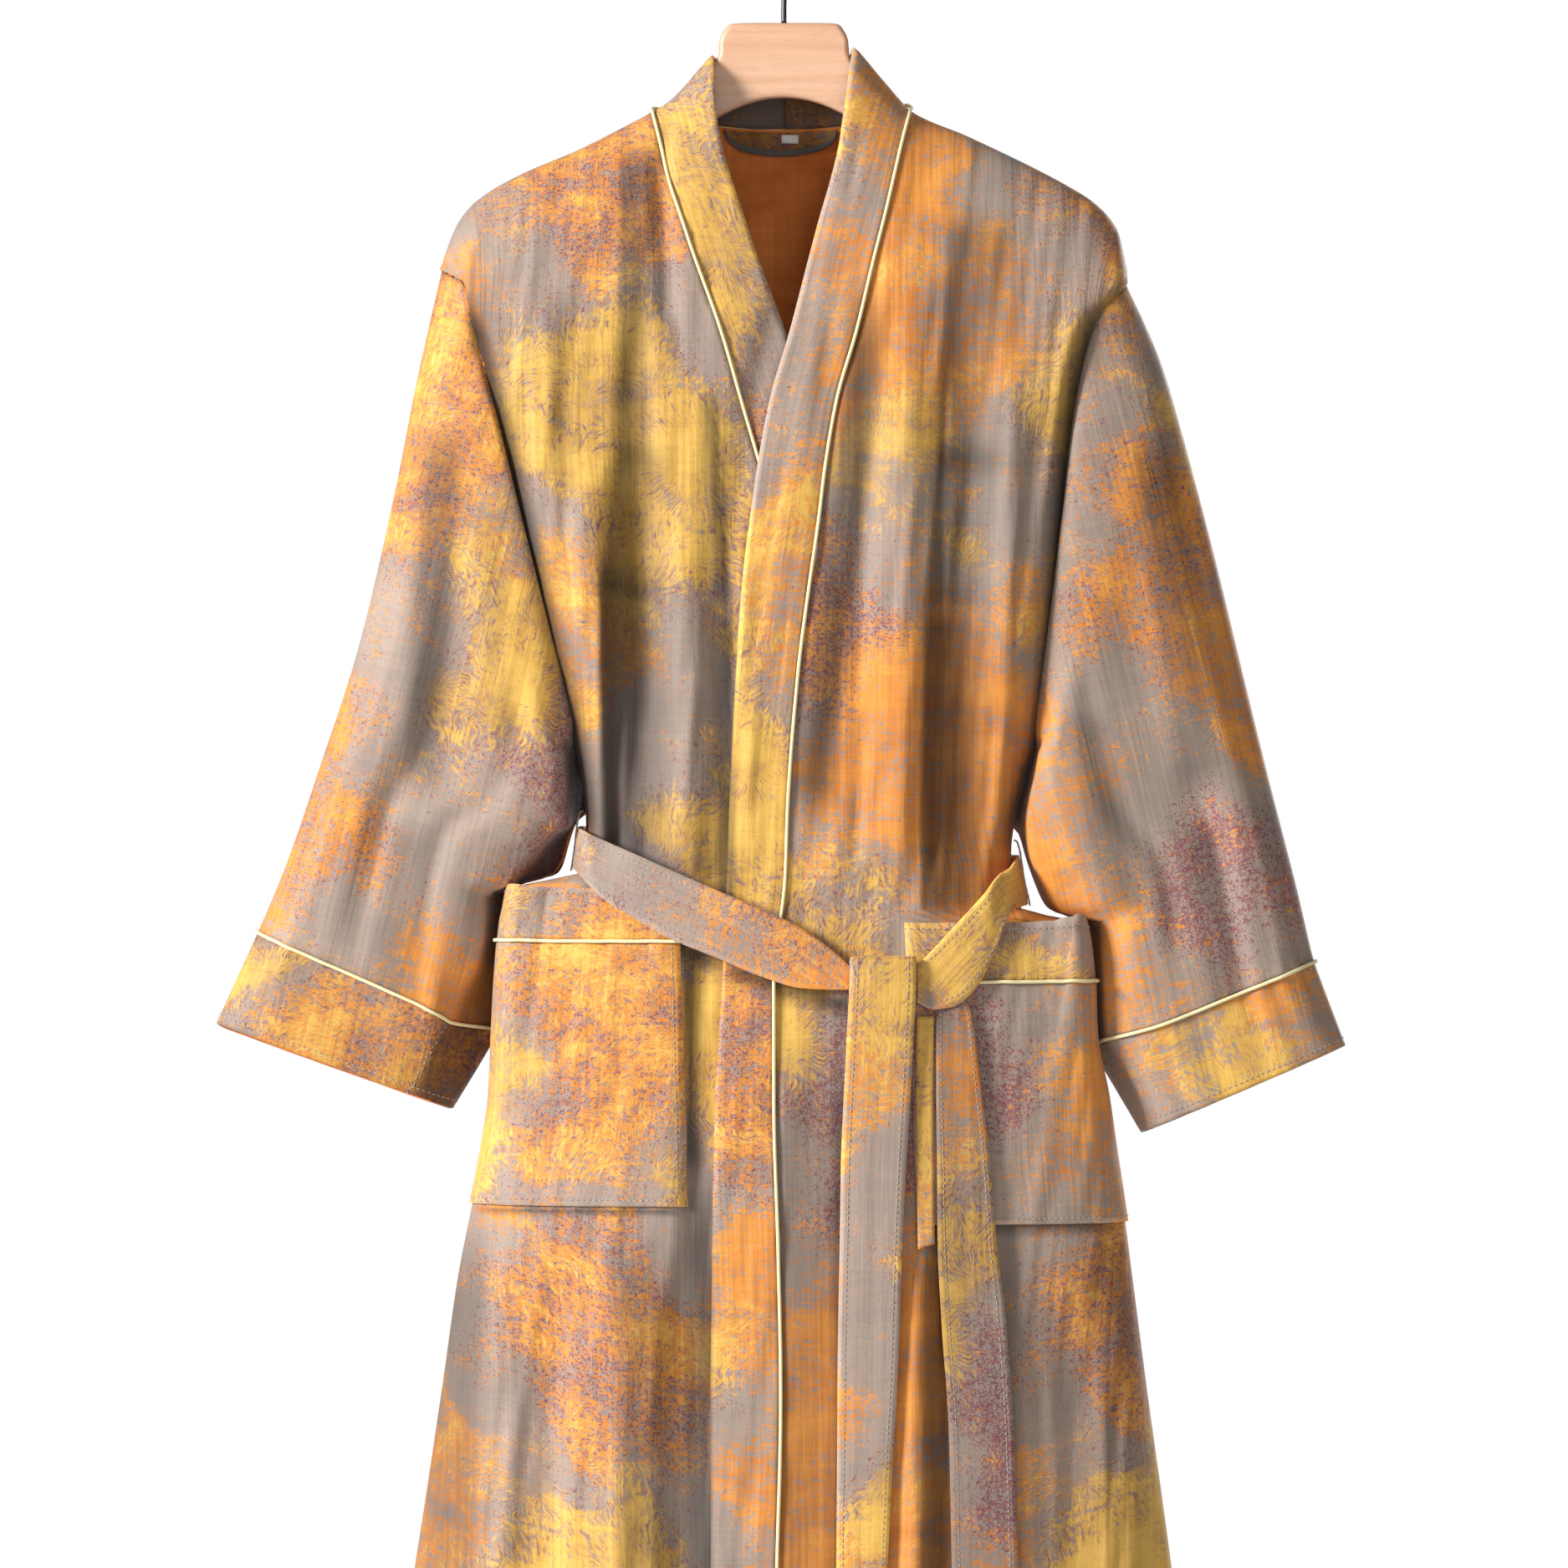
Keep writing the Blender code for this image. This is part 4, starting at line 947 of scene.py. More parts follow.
# The rows of the panels: shares of the way from the shoulder to LEVEL, then distances below the origin
SHARES = (np.arange(1, SHOULDER_ROWS + 1) / SHOULDER_ROWS) ** SHOULDER_CROWD
TO_ARMPIT = np.linspace(LEVEL, ARMPIT, ARMHOLE_ROWS + 1)[1:]
TO_HEM = np.linspace(ARMPIT, HEM, SKIRT_ROWS + 1)[1:]
BELOW = np.concatenate([TO_ARMPIT, TO_HEM])
RIDGE_ROWS = np.linspace(RIDGE_GAP, RIDGE_FLAT, 4)
ROW_SHARE = np.concatenate([SHARES, np.ones(len(BELOW))])[:, None]
ROW_LEVEL = np.concatenate([np.full(len(SHARES), LEVEL), BELOW])[:, None]
# The columns: close together beside the side seams
COLUMN_TURN = 0.96 * math.pi / 2
COLUMN_REACH = 1 - math.cos(COLUMN_TURN) ** (2 / ROUNDNESS)
EVEN_TURNS = np.sin(np.linspace(-1, 1, NECK_COLUMNS + 1) * math.pi / 2)
NECK_CORNERS = NECK_X["right"] + (NECK_X["left"] - NECK_X["right"]) / 2 * (1 + EVEN_TURNS)


def row_down(top):
    """Distances below the origin of a line that starts at top, one for each row."""
    return top + (ROW_LEVEL - top) * ROW_SHARE


def column_spread(share):
    """How far across the front panel a column lies."""
    return (1 - np.cos(share * COLUMN_TURN) ** (2 / ROUNDNESS)) / COLUMN_REACH


def seam_across(side, down):
    """Where a front panel ends at the collar's seam."""
    return read(COLLAR_LINES, "seam_" + side, down) + SIDE_X[side] * SEAM / 2


def ridge_row(x, down, y):
    """Points on the cloth's narrow flat top over the hanger, in front of its middle or behind it."""
    return np.stack([x, np.full_like(x, y), -down - RIDGE_DROP * abs(y) / RIDGE_FLAT], axis=-1)


def front_grid(side):
    """The front panel of one side, from its side seam to the collar's seam."""
    spread = column_spread(np.linspace(0, 1, FRONT_STEPS + 1))
    first, last = read(SIDES, side, SHOULDER_DOWN[side]), seam_across(side, NECK_POINT[side])
    top_x = first + (last - first) * spread
    top_down = ridge_down(top_x)
    top_down[0], top_down[-1] = SHOULDER_DOWN[side], NECK_POINT[side]
    side_x = read(SIDES, side, row_down(SHOULDER_DOWN[side]))
    x = side_x + (seam_across(side, row_down(NECK_POINT[side])) - side_x) * spread
    down = row_down(top_down)
    points = at_place("front", x, down)
    if side == "right":
        points[..., 1] += lap(x, down)
    points[down[:, 0] > ARMPIT, 0, 1] = -SEAM / 2
    points = np.concatenate([[ridge_row(top_x, top_down, -y) for y in RIDGE_ROWS], points])
    return points if side == "right" else points[:, ::-1]


def neck_seam_down(x):
    """The seam of the collar on the back panel."""
    outer = np.where(x < 0, NECK_POINT["right"], NECK_POINT["left"])
    reach = np.where(x < 0, NECK_X["right"], NECK_X["left"])
    return outer + NECK_DIP * np.cos(np.clip(x / reach, 0, 1) * math.pi / 2) ** 0.8


def back_grid():
    """The back panel, from its left side to its right one so that it faces back."""
    first, last = (read(SIDES, side, SHOULDER_DOWN[side]) for side in SIDE_X)
    count = 2 * SHOULDER_COLUMNS + NECK_COLUMNS
    turns = np.sin(np.linspace(-1, 1, count * BACK_STEPS + 1) * math.pi / 2)
    low = (power(turns, 2 / ROUNDNESS) + 1) / 2
    middle = (NECK_CORNERS - first) / (last - first)
    shoulder = np.linspace(0, 1, SHOULDER_COLUMNS + 1)[:-1] ** 1.5
    coarse = np.concatenate([middle[0] * shoulder, middle, 1 - (1 - middle[-1]) * shoulder[::-1]])
    top = np.interp(np.arange(len(low)) / BACK_STEPS, np.arange(count + 1), coarse)
    top_x = first + (last - first) * top
    on_neck = (top_x > NECK_X["right"] + 0.5) & (top_x < NECK_X["left"] - 0.5)
    top_down = np.where(on_neck, neck_seam_down(top_x), ridge_down(top_x))
    top_down[0], top_down[-1] = SHOULDER_DOWN["right"], SHOULDER_DOWN["left"]
    right, left = (read(SIDES, side, row_down(SHOULDER_DOWN[side])) for side in SIDE_X)
    down = row_down(top_down)
    x = right + (left - right) * (top + (low - top) * ease(ROW_SHARE))
    points = at_place("back", x, down)
    for column in (0, -1):
        points[down[:, column] > ARMPIT, column, 1] = SEAM / 2
    ridge = []
    for k, y in enumerate(RIDGE_ROWS):
        neck = at_place("back", top_x, top_down + SEAM * k)
        ridge.append(np.where(on_neck[:, None], neck, ridge_row(top_x, top_down, y)))
    return np.concatenate([ridge, points])[:, ::-1]


def armhole_loop(side):
    """The sleeve's first section, down the armhole's front edge and up its back edge, and its angles."""
    down = row_down(SHOULDER_DOWN[side])[: len(SHARES) + len(TO_ARMPIT), 0]
    down = np.concatenate([[SHOULDER_DOWN[side]], down])
    front, back = (body(face, np.full(len(down), SIDE_X[side] * 90.0), down) for face in FACE_Y)
    for end in (0, -1):
        front[end] = back[end] = (read(SIDES, side, down[end]), 0.0, -down[end])
    share = (down - down[0]) / (down[-1] - down[0])
    angle = np.degrees(np.arccos(np.clip(1 - 2 * share, -1, 1)))
    loop = np.concatenate([front, back[-2:0:-1]])
    loop[:, 0] -= SIDE_X[side] * SLEEVE_UNDER
    loop[:, 1] -= np.sign(loop[:, 1]) * ARMHOLE_TUCK
    return loop, np.concatenate([angle, 360 - angle[-2:0:-1]])


def sleeve_section(tab, i, angles):
    """A ring round the sleeve at one row of its table."""
    turn = np.radians(angles)
    outer = np.array([tab["out_x"][i], tab["back"][i], -tab["out_down"][i]])
    inner = np.array([tab["in_x"][i], tab["back"][i], -tab["in_down"][i]])
    middle, half = (outer + inner) / 2, (outer - inner) / 2
    points = middle + half * power(np.cos(turn), SLEEVE_ROUND)[:, None]
    points[:, 1] -= tab["depth"][i] * power(np.sin(turn), SLEEVE_ROUND)
    return points


def sleeve_folds(side, angles, along):
    """Height of the folds that run down a sleeve."""
    height = np.zeros(np.broadcast(angles, along).shape)
    for tab in (SLEEVE_FOLDS, SLEEVE_CREASES[side]):
        for middle, drift, width, start, end, rise in rows_of(tab):
            window = between(along, start, end, *SLEEVE_FADE)
            height += rise * window * bell(angles - middle - drift * along, width)
    return height


def inward(angles):
    """Shares of the way from a sleeve's middle to its inner edge."""
    return np.clip(-power(np.cos(np.radians(angles)), SLEEVE_ROUND), 0, 1)


def tucked(side, rows, angles):
    """Under the armpit the sleeve's inner edge rolls back, and its under side lies close up to the robe."""
    sign, down = SIDE_X[side], -rows[..., 2]
    share, front = inward(angles), np.sin(np.radians(angles)) > 0
    roll, tip, deep = (read(TUCKS[side], name, down) for name in ("roll", "tip", "deep"))
    roll, tip = sign * roll, sign * tip
    reach, y = sign * rows[..., 0], rows[..., 1]
    turned = np.argmax(front & (share > UNDER_EDGE))
    short = (roll - reach)[:, turned : turned + 1]
    y_edge = y[:, turned : turned + 1]
    under = np.clip((share - UNDER_EDGE) / (1 - UNDER_EDGE), 0, 1)
    behind = np.clip((share - BEHIND_EDGE) / (1 - BEHIND_EDGE), 0, 1)
    level = reach + short * (share / UNDER_EDGE) ** 4
    rolled = np.where(share > UNDER_EDGE, roll + (tip - roll) * under**1.7, level)
    reach_now = np.where(front, rolled, reach + (tip - reach) * behind**1.6)
    y_front = np.where(share > UNDER_EDGE, y_edge + (deep - y_edge) * under**0.75, y)
    y_now = np.where(front, y_front, y + (deep - y) * behind**4)
    near = ease((down - TUCK_TOP) / TUCK_RISE)
    moved = rows.copy()
    moved[..., 0] += sign * (reach_now - reach) * near
    moved[..., 1] += (y_now - y) * near
    return moved


def sleeve_grid(side):
    """Sections from the armhole to the cuff, with folds pushed out from the sleeve's middle."""
    loop, angles = armhole_loop(side)
    tab = SLEEVES[side]
    count = len(tab["depth"])
    keys = np.array([loop] + [sleeve_section(tab, i, angles) for i in range(count)])
    at = np.linspace(0, count, SLEEVE_ROWS + 1)
    columns = keys.reshape(count + 1, -1).T
    rows = np.stack([smooth_read(np.arange(count + 1.0), column, at) for column in columns], axis=-1)
    rows = rows.reshape((len(at),) + loop.shape)
    along = (at / count)[:, None]
    sides = np.sign(np.sin(np.radians(angles)))
    # the sleeve's edge rolls over the armhole's seam, in front and behind
    roll = between(along, *ROLL_ALONG) * between(angles % 180, *ROLL_ROUND)
    rows[:, :, 1] -= sides * (sleeve_folds(side, angles, along) + ROLL_OUT * roll)
    rows[:, :, 0] -= SIDE_X[side] * ROLL_OVER * roll
    return tucked(side, rows, angles), angles


def cuff_grid(side, rows, angles):
    """The cuff goes on from the sleeve's last section."""
    top = rows[-1]
    end = sleeve_section(CUFF_ENDS[side], 0, angles)
    first = top + unit(end - top) * CUFF_GAP
    # the back of the hem hangs a little lower than its front
    longer = 1 + HEM_SHOWS[side] * np.clip(-np.sin(np.radians(angles)), 0, 1)[:, None] ** 0.5
    grid = first + (end - first) * longer * np.linspace(0, 1, CUFF_ROWS + 1)[:, None, None]
    if side == "right":
        grid[..., 1] += CUFF_GROOVE * bell(cuff_seam(grid), CUFF_GROOVE_WIDE) * (grid[..., 1] < 0)
    return grid


def cuff_seam(grid):
    """How far a point of the right cuff lies on the under side of its seam."""
    return grid[..., 0] - np.interp(-grid[..., 2], *CUFF_SEAM)


def collar_grid(side):
    """The collar band of one side, from the hem up the front, over the shoulder to the centre back."""
    sign = SIDE_X[side]
    share = np.linspace(0, 1, COLLAR_STEPS + 1)
    seam = row_down(NECK_POINT[side])[2:][::-1]
    free = np.where(seam > LEVEL, seam, read(NECK_SECTIONS, "free", seam, "seam"))
    seam_x = seam_across(side, seam) - sign * (SEAM + NECK_SEAM_GAP * ease((200 - seam) / 60))
    free_x = read(COLLAR_LINES, "free_" + side, free)
    x = seam_x + (free_x - seam_x) * share
    down = seam + (free - seam) * share
    front = at_place("front", x, down)
    if side == "right":
        front[..., 1] += lap(x, down)
    crest_x = np.linspace(NECK_X[side] - sign * CREST_IN, CREST_FREE[side], COLLAR_STEPS + 1)
    crest = [ridge_row(crest_x, ridge_down(crest_x), y) for y in (-RIDGE_FLAT, 0.0, RIDGE_FLAT)]
    crest[2][:, 0] -= sign * BACK_NECK_STEP * ease(1 - 2 * share)
    crest[2][:, 2] = -ridge_down(crest[2][:, 0]) - RIDGE_DROP
    back = []
    for turn in np.radians(NECK_TURNS):
        seam_b, free_b = crest_x[[0, -1]] * math.cos(turn) * (0.998, 1.0)
        seam_d = np.interp(seam_b, NECK_CORNERS, neck_seam_down(NECK_CORNERS)) - NECK_SEAM_GAP
        free_d = NECK_FREE + NECK_FREE_DIP * math.sin(turn)
        back.append(at_place("back", seam_b + (free_b - seam_b) * share, seam_d + (free_d - seam_d) * share))
    back = np.array(back)
    back[-1, :, 0] = 0
    over = resample(np.concatenate([front[-1:], crest, back]), NECK_ROWS, COLLAR_STEPS)
    # behind the neck the band's edge comes down onto the back's
    rise = ease(np.arange(NECK_ROWS + 1) / NECK_RISE)[:, None]
    over[:, 0] += unit(over[:, 0] - over[:, 1]) * NECK_SEAM_GAP * rise
    return np.concatenate([front, over[1:]])


def resample(grid, rows, columns):
    """The same sheet through its points with more rows and columns."""
    for axis, steps in ((0, rows), (1, columns)):
        grid = np.moveaxis(grid, axis, 0)
        at = np.linspace(0, len(grid) - 1, steps + 1)
        flat = grid.reshape(len(grid), -1)
        if len(grid) > 2:
            keys = np.arange(len(grid), dtype=float)
            flat = np.stack([smooth_read(keys, column, at) for column in flat.T], axis=-1)
        else:
            flat = flat[0] + (flat[1] - flat[0]) * at[:, None]
        grid = np.moveaxis(flat.reshape((steps + 1,) + grid.shape[1:]), 0, axis)
    return grid


def through(points, steps):
    """The same line through its points with that many steps."""
    return resample(np.array(points)[:, None, :].repeat(2, axis=1), steps, 1)[:, 0]


def outward(grid, flip=False, closed=False):
    """The normals of a sheet at its points."""
    if closed:
        across = np.roll(grid, -1, axis=1) - np.roll(grid, 1, axis=1)
    else:
        across = np.gradient(grid, axis=1)
    normal = unit(np.cross(np.gradient(grid, axis=0), across))
    return -normal if flip else normal


def pocket_grid(side, top, end, clear, rows, columns=48):
    """A patch on the front panel between two heights, whose mouth stands off it."""
    pocket = POCKETS[side]
    down = np.linspace(top, end, rows + 1)[:, None]
    share = (down - pocket["top"]) / (pocket["end"] - pocket["top"])
    inner_x = pocket["inner_top"] + (pocket["inner_end"] - pocket["inner_top"]) * share
    side_x, seam_x = read(SIDES, side, down), seam_across(side, down)
    inner = (inner_x - side_x) / (seam_x - side_x)
    inner = np.arccos((1 - inner * COLUMN_REACH) ** (ROUNDNESS / 2)) / COLUMN_TURN
    across = np.linspace(0, 1, columns + 1)[None, :]
    start = POCKET_START / FRONT_COLUMNS
    x = side_x + (seam_x - side_x) * column_spread(start + (inner - start) * across)
    gape = pocket["gape"] * bell(across - pocket["gape_at"], GAPE_WIDTH) * np.clip(1 - share, 0, 1) ** 0.9
    if side == "right":
        gape = gape - lap(x, down)
    points = at_place("front", x, down, clear + gape)
    return points if side == "right" else points[:, ::-1]


def resting(face, x, down, clear):
    """The distance from the middle plane of a taut strip that crosses the robe here."""
    levels = np.atleast_1d(np.asarray(down, float))[:, None]
    found = []
    for points in body(face, np.linspace(-89.5, 89.5, 120)[None, :], levels, clear):
        points = points[np.argsort(points[:, 0])]
        found.append(np.interp(x, points[:, 0], np.abs(points[:, 1])))
    return float(np.max(found))


def taut(near):
    """Three distances from the robe whose middle doesn't dip between its ends."""
    return np.array([near[0], max(near[1], (near[0] + near[2]) / 2), near[2]]) + BELT_WALL


def across_robe(face, x, top, end, clear):
    """Top, middle and bottom point of a belt at one place, straight between its edges."""
    levels = np.linspace(top - 1, end + 1, 9)
    spread = x + np.array([-5.0, 0.0, 5.0])
    near = [resting(face, spread, part, clear) for part in (levels[:5], levels[3:6], levels[4:])]
    down = np.array([top, (top + end) / 2, end])
    return np.stack([np.full(3, x), FACE_Y[face] * taut(near), -down], axis=-1)


def hanging_strip(tab):
    """A strip that hangs in front of the robe, flat across, touching only its folds."""
    rows = []
    for down, left, right, clear in rows_of(tab):
        x = np.linspace(left, right, 3)
        parts = ((left - 2, x[1]), (left + 8, right - 8), (x[1], right + 2))
        near = [resting("front", np.linspace(*part, 5), [down - 8, down, down + 8], clear) for part in parts]
        rows.append(np.stack([x, -taut(near), np.full(3, -down)], axis=-1))
    return np.array(rows)


def belt_wrap_grid():
    """The belt from inside the knot round the robe and back to it, top edge first."""
    rows = []
    for face, tab in (
        ("front", BELT_RIGHT), ("turn", BELT_ROUND_RIGHT), ("back", BELT_BACK), ("turn", BELT_ROUND_LEFT),
        ("front", BELT_LEFT),
    ):
        for station in rows_of(tab):
            if face == "turn":
                angle, side, top, end, clear = station
                near = body("front" if side < 0 else "back", np.full(3, angle), np.linspace(top, end, 3),
                            clear + BELT_WALL)
                rows.append(near)
            else:
                rows.append(across_robe(face, *station))
    return np.array(rows)


def woven_in(uv):
    """How much orange, yellow and plum yarn shows at each place of the cloth."""
    weights = np.zeros((len(uv), 4))
    # the fourth column carries the painted shade and highlight, none here
    weights[:, 3] = 1.0
    turn = 2 * np.pi * uv / np.array(REPEAT)
    at = uv.T.copy()
    for axis, height, turns_u, turns_v, shift in rows_of(WANDER):
        at[int(axis)] += height * np.sin(turns_u * turn[:, 0] + turns_v * turn[:, 1] + shift)
    for u, v, wide, high, lean, *colours in rows_of(PATCHES):
        du, dv = ((a - b + size / 2) % size - size / 2 for a, b, size in zip(at, (u, v), REPEAT))
        reach = np.hypot((du + lean * dv) / wide, dv / high)
        weights[:, :3] = np.maximum(weights[:, :3], ease(PATCH_REACH - reach)[:, None] * np.array(colours))
    return weights


def summed(steps, axis):
    """Running sums along an axis, from zero."""
    start = np.zeros_like(np.take(steps, [0], axis))
    return np.concatenate([start, np.cumsum(steps, axis=axis)], axis=axis)


def cloth_uv(grid, start=(0.0, 0.0), closed=False):
    """Metres across and along a sheet, measured on its surface from its first corner."""
    wide = np.concatenate([grid, grid[:, :1]], axis=1) if closed else grid
    u, v = (summed(np.linalg.norm(np.diff(wide, axis=axis), axis=-1), axis) for axis in (1, 0))
    return np.stack([u * MM + start[0], v * MM + start[1]], axis=-1)


def panel_uv(grid, start, column, turn=1):
    """The map of a body panel, whose threads hang plumb at one of its columns."""
    uv = cloth_uv(grid)
    uv[..., 0] += turn * grid[:, column, 0][:, None] * MM - uv[:, column, 0][:, None] + start[0]
    level = len(RIDGE_ROWS) + len(SHARES) - 1
    uv[..., 1] += LEVEL * MM - uv[level, :, 1][None, :] + start[1]
    return uv


def sleeve_uv(grid, side, start):
    """The map of a sleeve or cuff, whose threads run along the sleeve."""
    lean = SIDE_X[side] * SLEEVE_LEAN
    along = np.array([math.sin(lean), 0.0, -math.cos(lean)])
    across = np.array([math.cos(lean), 0.0, math.sin(lean)])
    wide = np.concatenate([grid, grid[:, :1]], axis=1)
    step = np.diff(wide, axis=1)
    step -= (step @ along)[..., None] * along
    u = summed(np.linalg.norm(step, axis=-1), 1)
    middle = grid.shape[1] // 4
    u += -SIDE_X[side] * (grid[:, middle] @ across)[:, None] - u[:, middle][:, None]
    return np.stack([u * MM + start[0], wide @ along * MM + start[1]], axis=-1)


def shadowed(grid, name):
    """How much light the folds and the pieces on top leave at each point of a grid."""
    light = np.ones(grid.shape[:2])
    for x0, top, x1, end, left, right, dark in rows_of(SHADOWS[name]):
        length = math.hypot(x1 - x0, end - top)
        over, down = (x1 - x0) / length, (end - top) / length
        x, low = grid[..., 0] - x0, -grid[..., 2] - top
        along, off = (x * over + low * down) / length, x * down - low * over
        soft = np.exp(-np.abs(off / np.where(off < 0, left, right)) ** 3)
        light *= 1 - dark * between(along, 0, 1, *SHADOW_FADE) * soft
    return light**SHADOW_POWER


def place(name, mesh, finishes, node):
    """A finished piece that stands for its CAD node and rides with it."""
    obj = bpy.data.objects.new(name, mesh)
    bpy.context.scene.collection.objects.link(obj)
    for finish in finishes:
        mesh.materials.append(bpy.data.materials[finish])
    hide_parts(node)
    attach(obj, "root")
    return obj


def make_mesh(name, points, faces, uv, weights, inner_faces=(0, 0)):
    """A smooth mesh of quads with the cloth's UV map, and on its corners the yarn weights with the painted
    shade and highlight in their alpha.
    """
    mesh = bpy.data.meshes.new(name)
    mesh.vertices.add(len(points))
    mesh.vertices.foreach_set("co", (points * MM).ravel())
    mesh.loops.add(faces.size)
    mesh.loops.foreach_set("vertex_index", faces.ravel())
    mesh.polygons.add(len(faces))
    mesh.polygons.foreach_set("loop_start", np.arange(len(faces)) * 4)
    mesh.update(calc_edges=True)
    mesh.uv_layers.new(name="cloth").data.foreach_set("uv", uv.ravel())
    layer = mesh.color_attributes.new("yarns_and_painted_light", "FLOAT_COLOR", "CORNER")
    layer.data.foreach_set("color", weights.ravel())
    index = np.zeros(len(faces), dtype=np.int32)
    index[slice(*inner_faces)] = 1
    mesh.polygons.foreach_set("material_index", index)
    mesh.shade_smooth()
    mesh.validate()
    return mesh


def cells(rows, columns):
    """The row and the column of each cell of a grid."""
    r, c = np.meshgrid(np.arange(rows), np.arange(columns), indexing="ij")
    return r.ravel(), c.ravel()


def cloth(node, grid, wall, start=(0.0, 0.0), closed=False, flip=False, shade=None, uv=None,
          finishes=(RIGHT_SIDE, WRONG_SIDE), inner=1.0):
    """A cloth piece: its right side, its wrong side a wall's thickness in, and the edges between."""
    rows, columns = grid.shape[:2]
    inside = grid - outward(grid, flip, closed) * wall
    points = np.concatenate([grid.reshape(-1, 3), inside.reshape(-1, 3)])
    uv = cloth_uv(grid, start, closed) if uv is None else uv
    shade = np.ones((rows, columns)) if shade is None else shade
    r, c = cells(rows - 1, columns if closed else columns - 1)
    corners_r, corners_c = np.stack([r, r + 1, r + 1, r], axis=-1), np.stack([c, c, c + 1, c + 1], axis=-1)
    if flip:
        corners_r, corners_c = corners_r[:, ::-1], corners_c[:, ::-1]
    edge_r, edge_c = outer_edge(corners_r, corners_c, rows, columns, closed)
    outer = corners_r * columns + corners_c % columns
    first, second = (edge_r * columns + edge_c % columns).T
    under = rows * columns
    edges = np.stack([second, first, first + under, second + under], axis=-1)
    faces = np.concatenate([outer, outer[:, ::-1] + under, edges])
    at_r = np.concatenate([corners_r, corners_r[:, ::-1], edge_r[:, [1, 0, 0, 1]]])
    at_c = np.concatenate([corners_c, corners_c[:, ::-1], edge_c[:, [1, 0, 0, 1]]])
    corner_uv = uv[at_r, at_c].reshape(-1, 2)
    weights = woven_in(corner_uv)
    # painted shade and highlight go into the alpha of the weights, and inner scales the painted shade of the
    # wrong side
    weights[:, 3] = shade[at_r, at_c % columns].ravel()
    weights[4 * len(outer) : 8 * len(outer), 3] *= inner
    mesh = make_mesh(node + "_cloth", points, faces, corner_uv, weights, (len(outer), 2 * len(outer)))
    return place(node + "_cloth", mesh, finishes, node)


def outer_edge(corners_r, corners_c, rows, columns, closed):
    """The two ends of each outer edge of a sheet, in the direction of its faces."""
    found = []
    for i, j in ((0, 1), (1, 2), (2, 3), (3, 0)):
        keep = (corners_r[:, i] == corners_r[:, j]) & np.isin(corners_r[:, i], (0, rows - 1))
        if not closed:
            keep |= (corners_c[:, i] == corners_c[:, j]) & np.isin(corners_c[:, i], (0, columns - 1))
        found.append([part[keep][:, [i, j]] for part in (corners_r, corners_c)])
    return (np.concatenate(parts) for parts in zip(*found))


def ring_faces(rows, around, closed=False):
    """Quads between rings of points, with a fan at each open end, and the row and column of each corner."""
    r, c = cells(rows if closed else rows - 1, around)
    corners_r, corners_c = np.stack([r, r, r + 1, r + 1], axis=-1), np.stack([c, c + 1, c + 1, c], axis=-1)
    faces = (corners_r % rows) * around + corners_c % around
    if closed:
        return faces, corners_r, corners_c
    k, last = np.arange(0, around, 2), (rows - 1) * around
    middle = np.full(len(k), rows * around)
    start = np.stack([middle, (k + 2) % around, (k + 1) % around, k], axis=-1)
    end = np.stack([middle + 1, last + k, last + (k + 1) % around, last + (k + 2) % around], axis=-1)
    faces = np.concatenate([faces, start, end])
    corners_r = np.concatenate([corners_r, np.zeros_like(start), np.full_like(end, rows - 1)])
    corners_c = np.concatenate([corners_c, np.zeros_like(start), np.zeros_like(end)])
    return faces, corners_r, corners_c


def frames_along(route, closed):
    """Two directions square to a route at each of its points, without a twist."""
    if closed:
        ahead = np.roll(route, -1, axis=0) - np.roll(route, 1, axis=0)
    else:
        ahead = np.gradient(route, axis=0)
    ahead = unit(ahead)
    side = np.cross(ahead[0], [0.31, 0.67, 0.67])
    sides = []
    for direction in ahead:
        side = unit(side - direction * side.dot(direction))
        sides.append(side)
    sides = np.array(sides)
    return sides, np.cross(ahead, sides)


def tube(name, route, radius, finish, node, closed=False, around=10, swell=1.0):
    """A round cord along a row of points."""
    first, second = frames_along(route, closed)
    turn = (np.arange(around) * 2 * math.pi / around)[:, None]
    size = (radius * swell * np.ones(len(route)))[:, None, None]
    rings = route[:, None] + size * (first[:, None] * np.cos(turn) + second[:, None] * np.sin(turn))
    points = rings.reshape(-1, 3)
    if not closed:
        points = np.concatenate([points, route[:1], route[-1:]])
    faces, corners_r, corners_c = ring_faces(len(route), around, closed)
    step = np.linalg.norm(np.diff(route, axis=0), axis=-1)
    along = np.concatenate([[0.0], np.cumsum(step), [step.sum() + step.mean()]]) * MM
    uv = np.stack([corners_c * 2 * math.pi * radius * MM / around, along[corners_r]], axis=-1).reshape(-1, 2)
    return place(name, make_mesh(name, points, faces, uv, np.ones((len(uv), 4))), [finish], node)


def capped(name, rings, node):
    """A closed body of cloth through rings of points."""
    faces = ring_faces(*rings.shape[:2])[0]
    points = np.concatenate([rings.reshape(-1, 3), rings[:1].mean(axis=1), rings[-1:].mean(axis=1)])
    uv = points[faces.ravel()][:, [0, 2]] * MM
    weights = np.ones((len(uv), 4)) * KNOT_YARNS
    return place(name, make_mesh(name, points, faces, uv, weights), [RIGHT_SIDE], node)


def linear(colour):
    """A colour picked in sRGB, as linear red, green and blue with full cover."""
    values = [int(colour[i : i + 2], 16) / 255 for i in (1, 3, 5)]
    return (*[v / 12.92 if v <= 0.04045 else ((v + 0.055) / 1.055) ** 2.4 for v in values], 1.0)


def add(tree, kind, inputs=None, **settings):
    """One node with its settings; an input that is a socket is linked."""
    made = tree.nodes.new(kind)
    for key, value in settings.items():
        setattr(made, key, value)
    for key, value in (inputs or {}).items():
        if isinstance(value, bpy.types.NodeSocket):
            tree.links.new(value, made.inputs[key])
        else:
            made.inputs[key].default_value = value
    return made


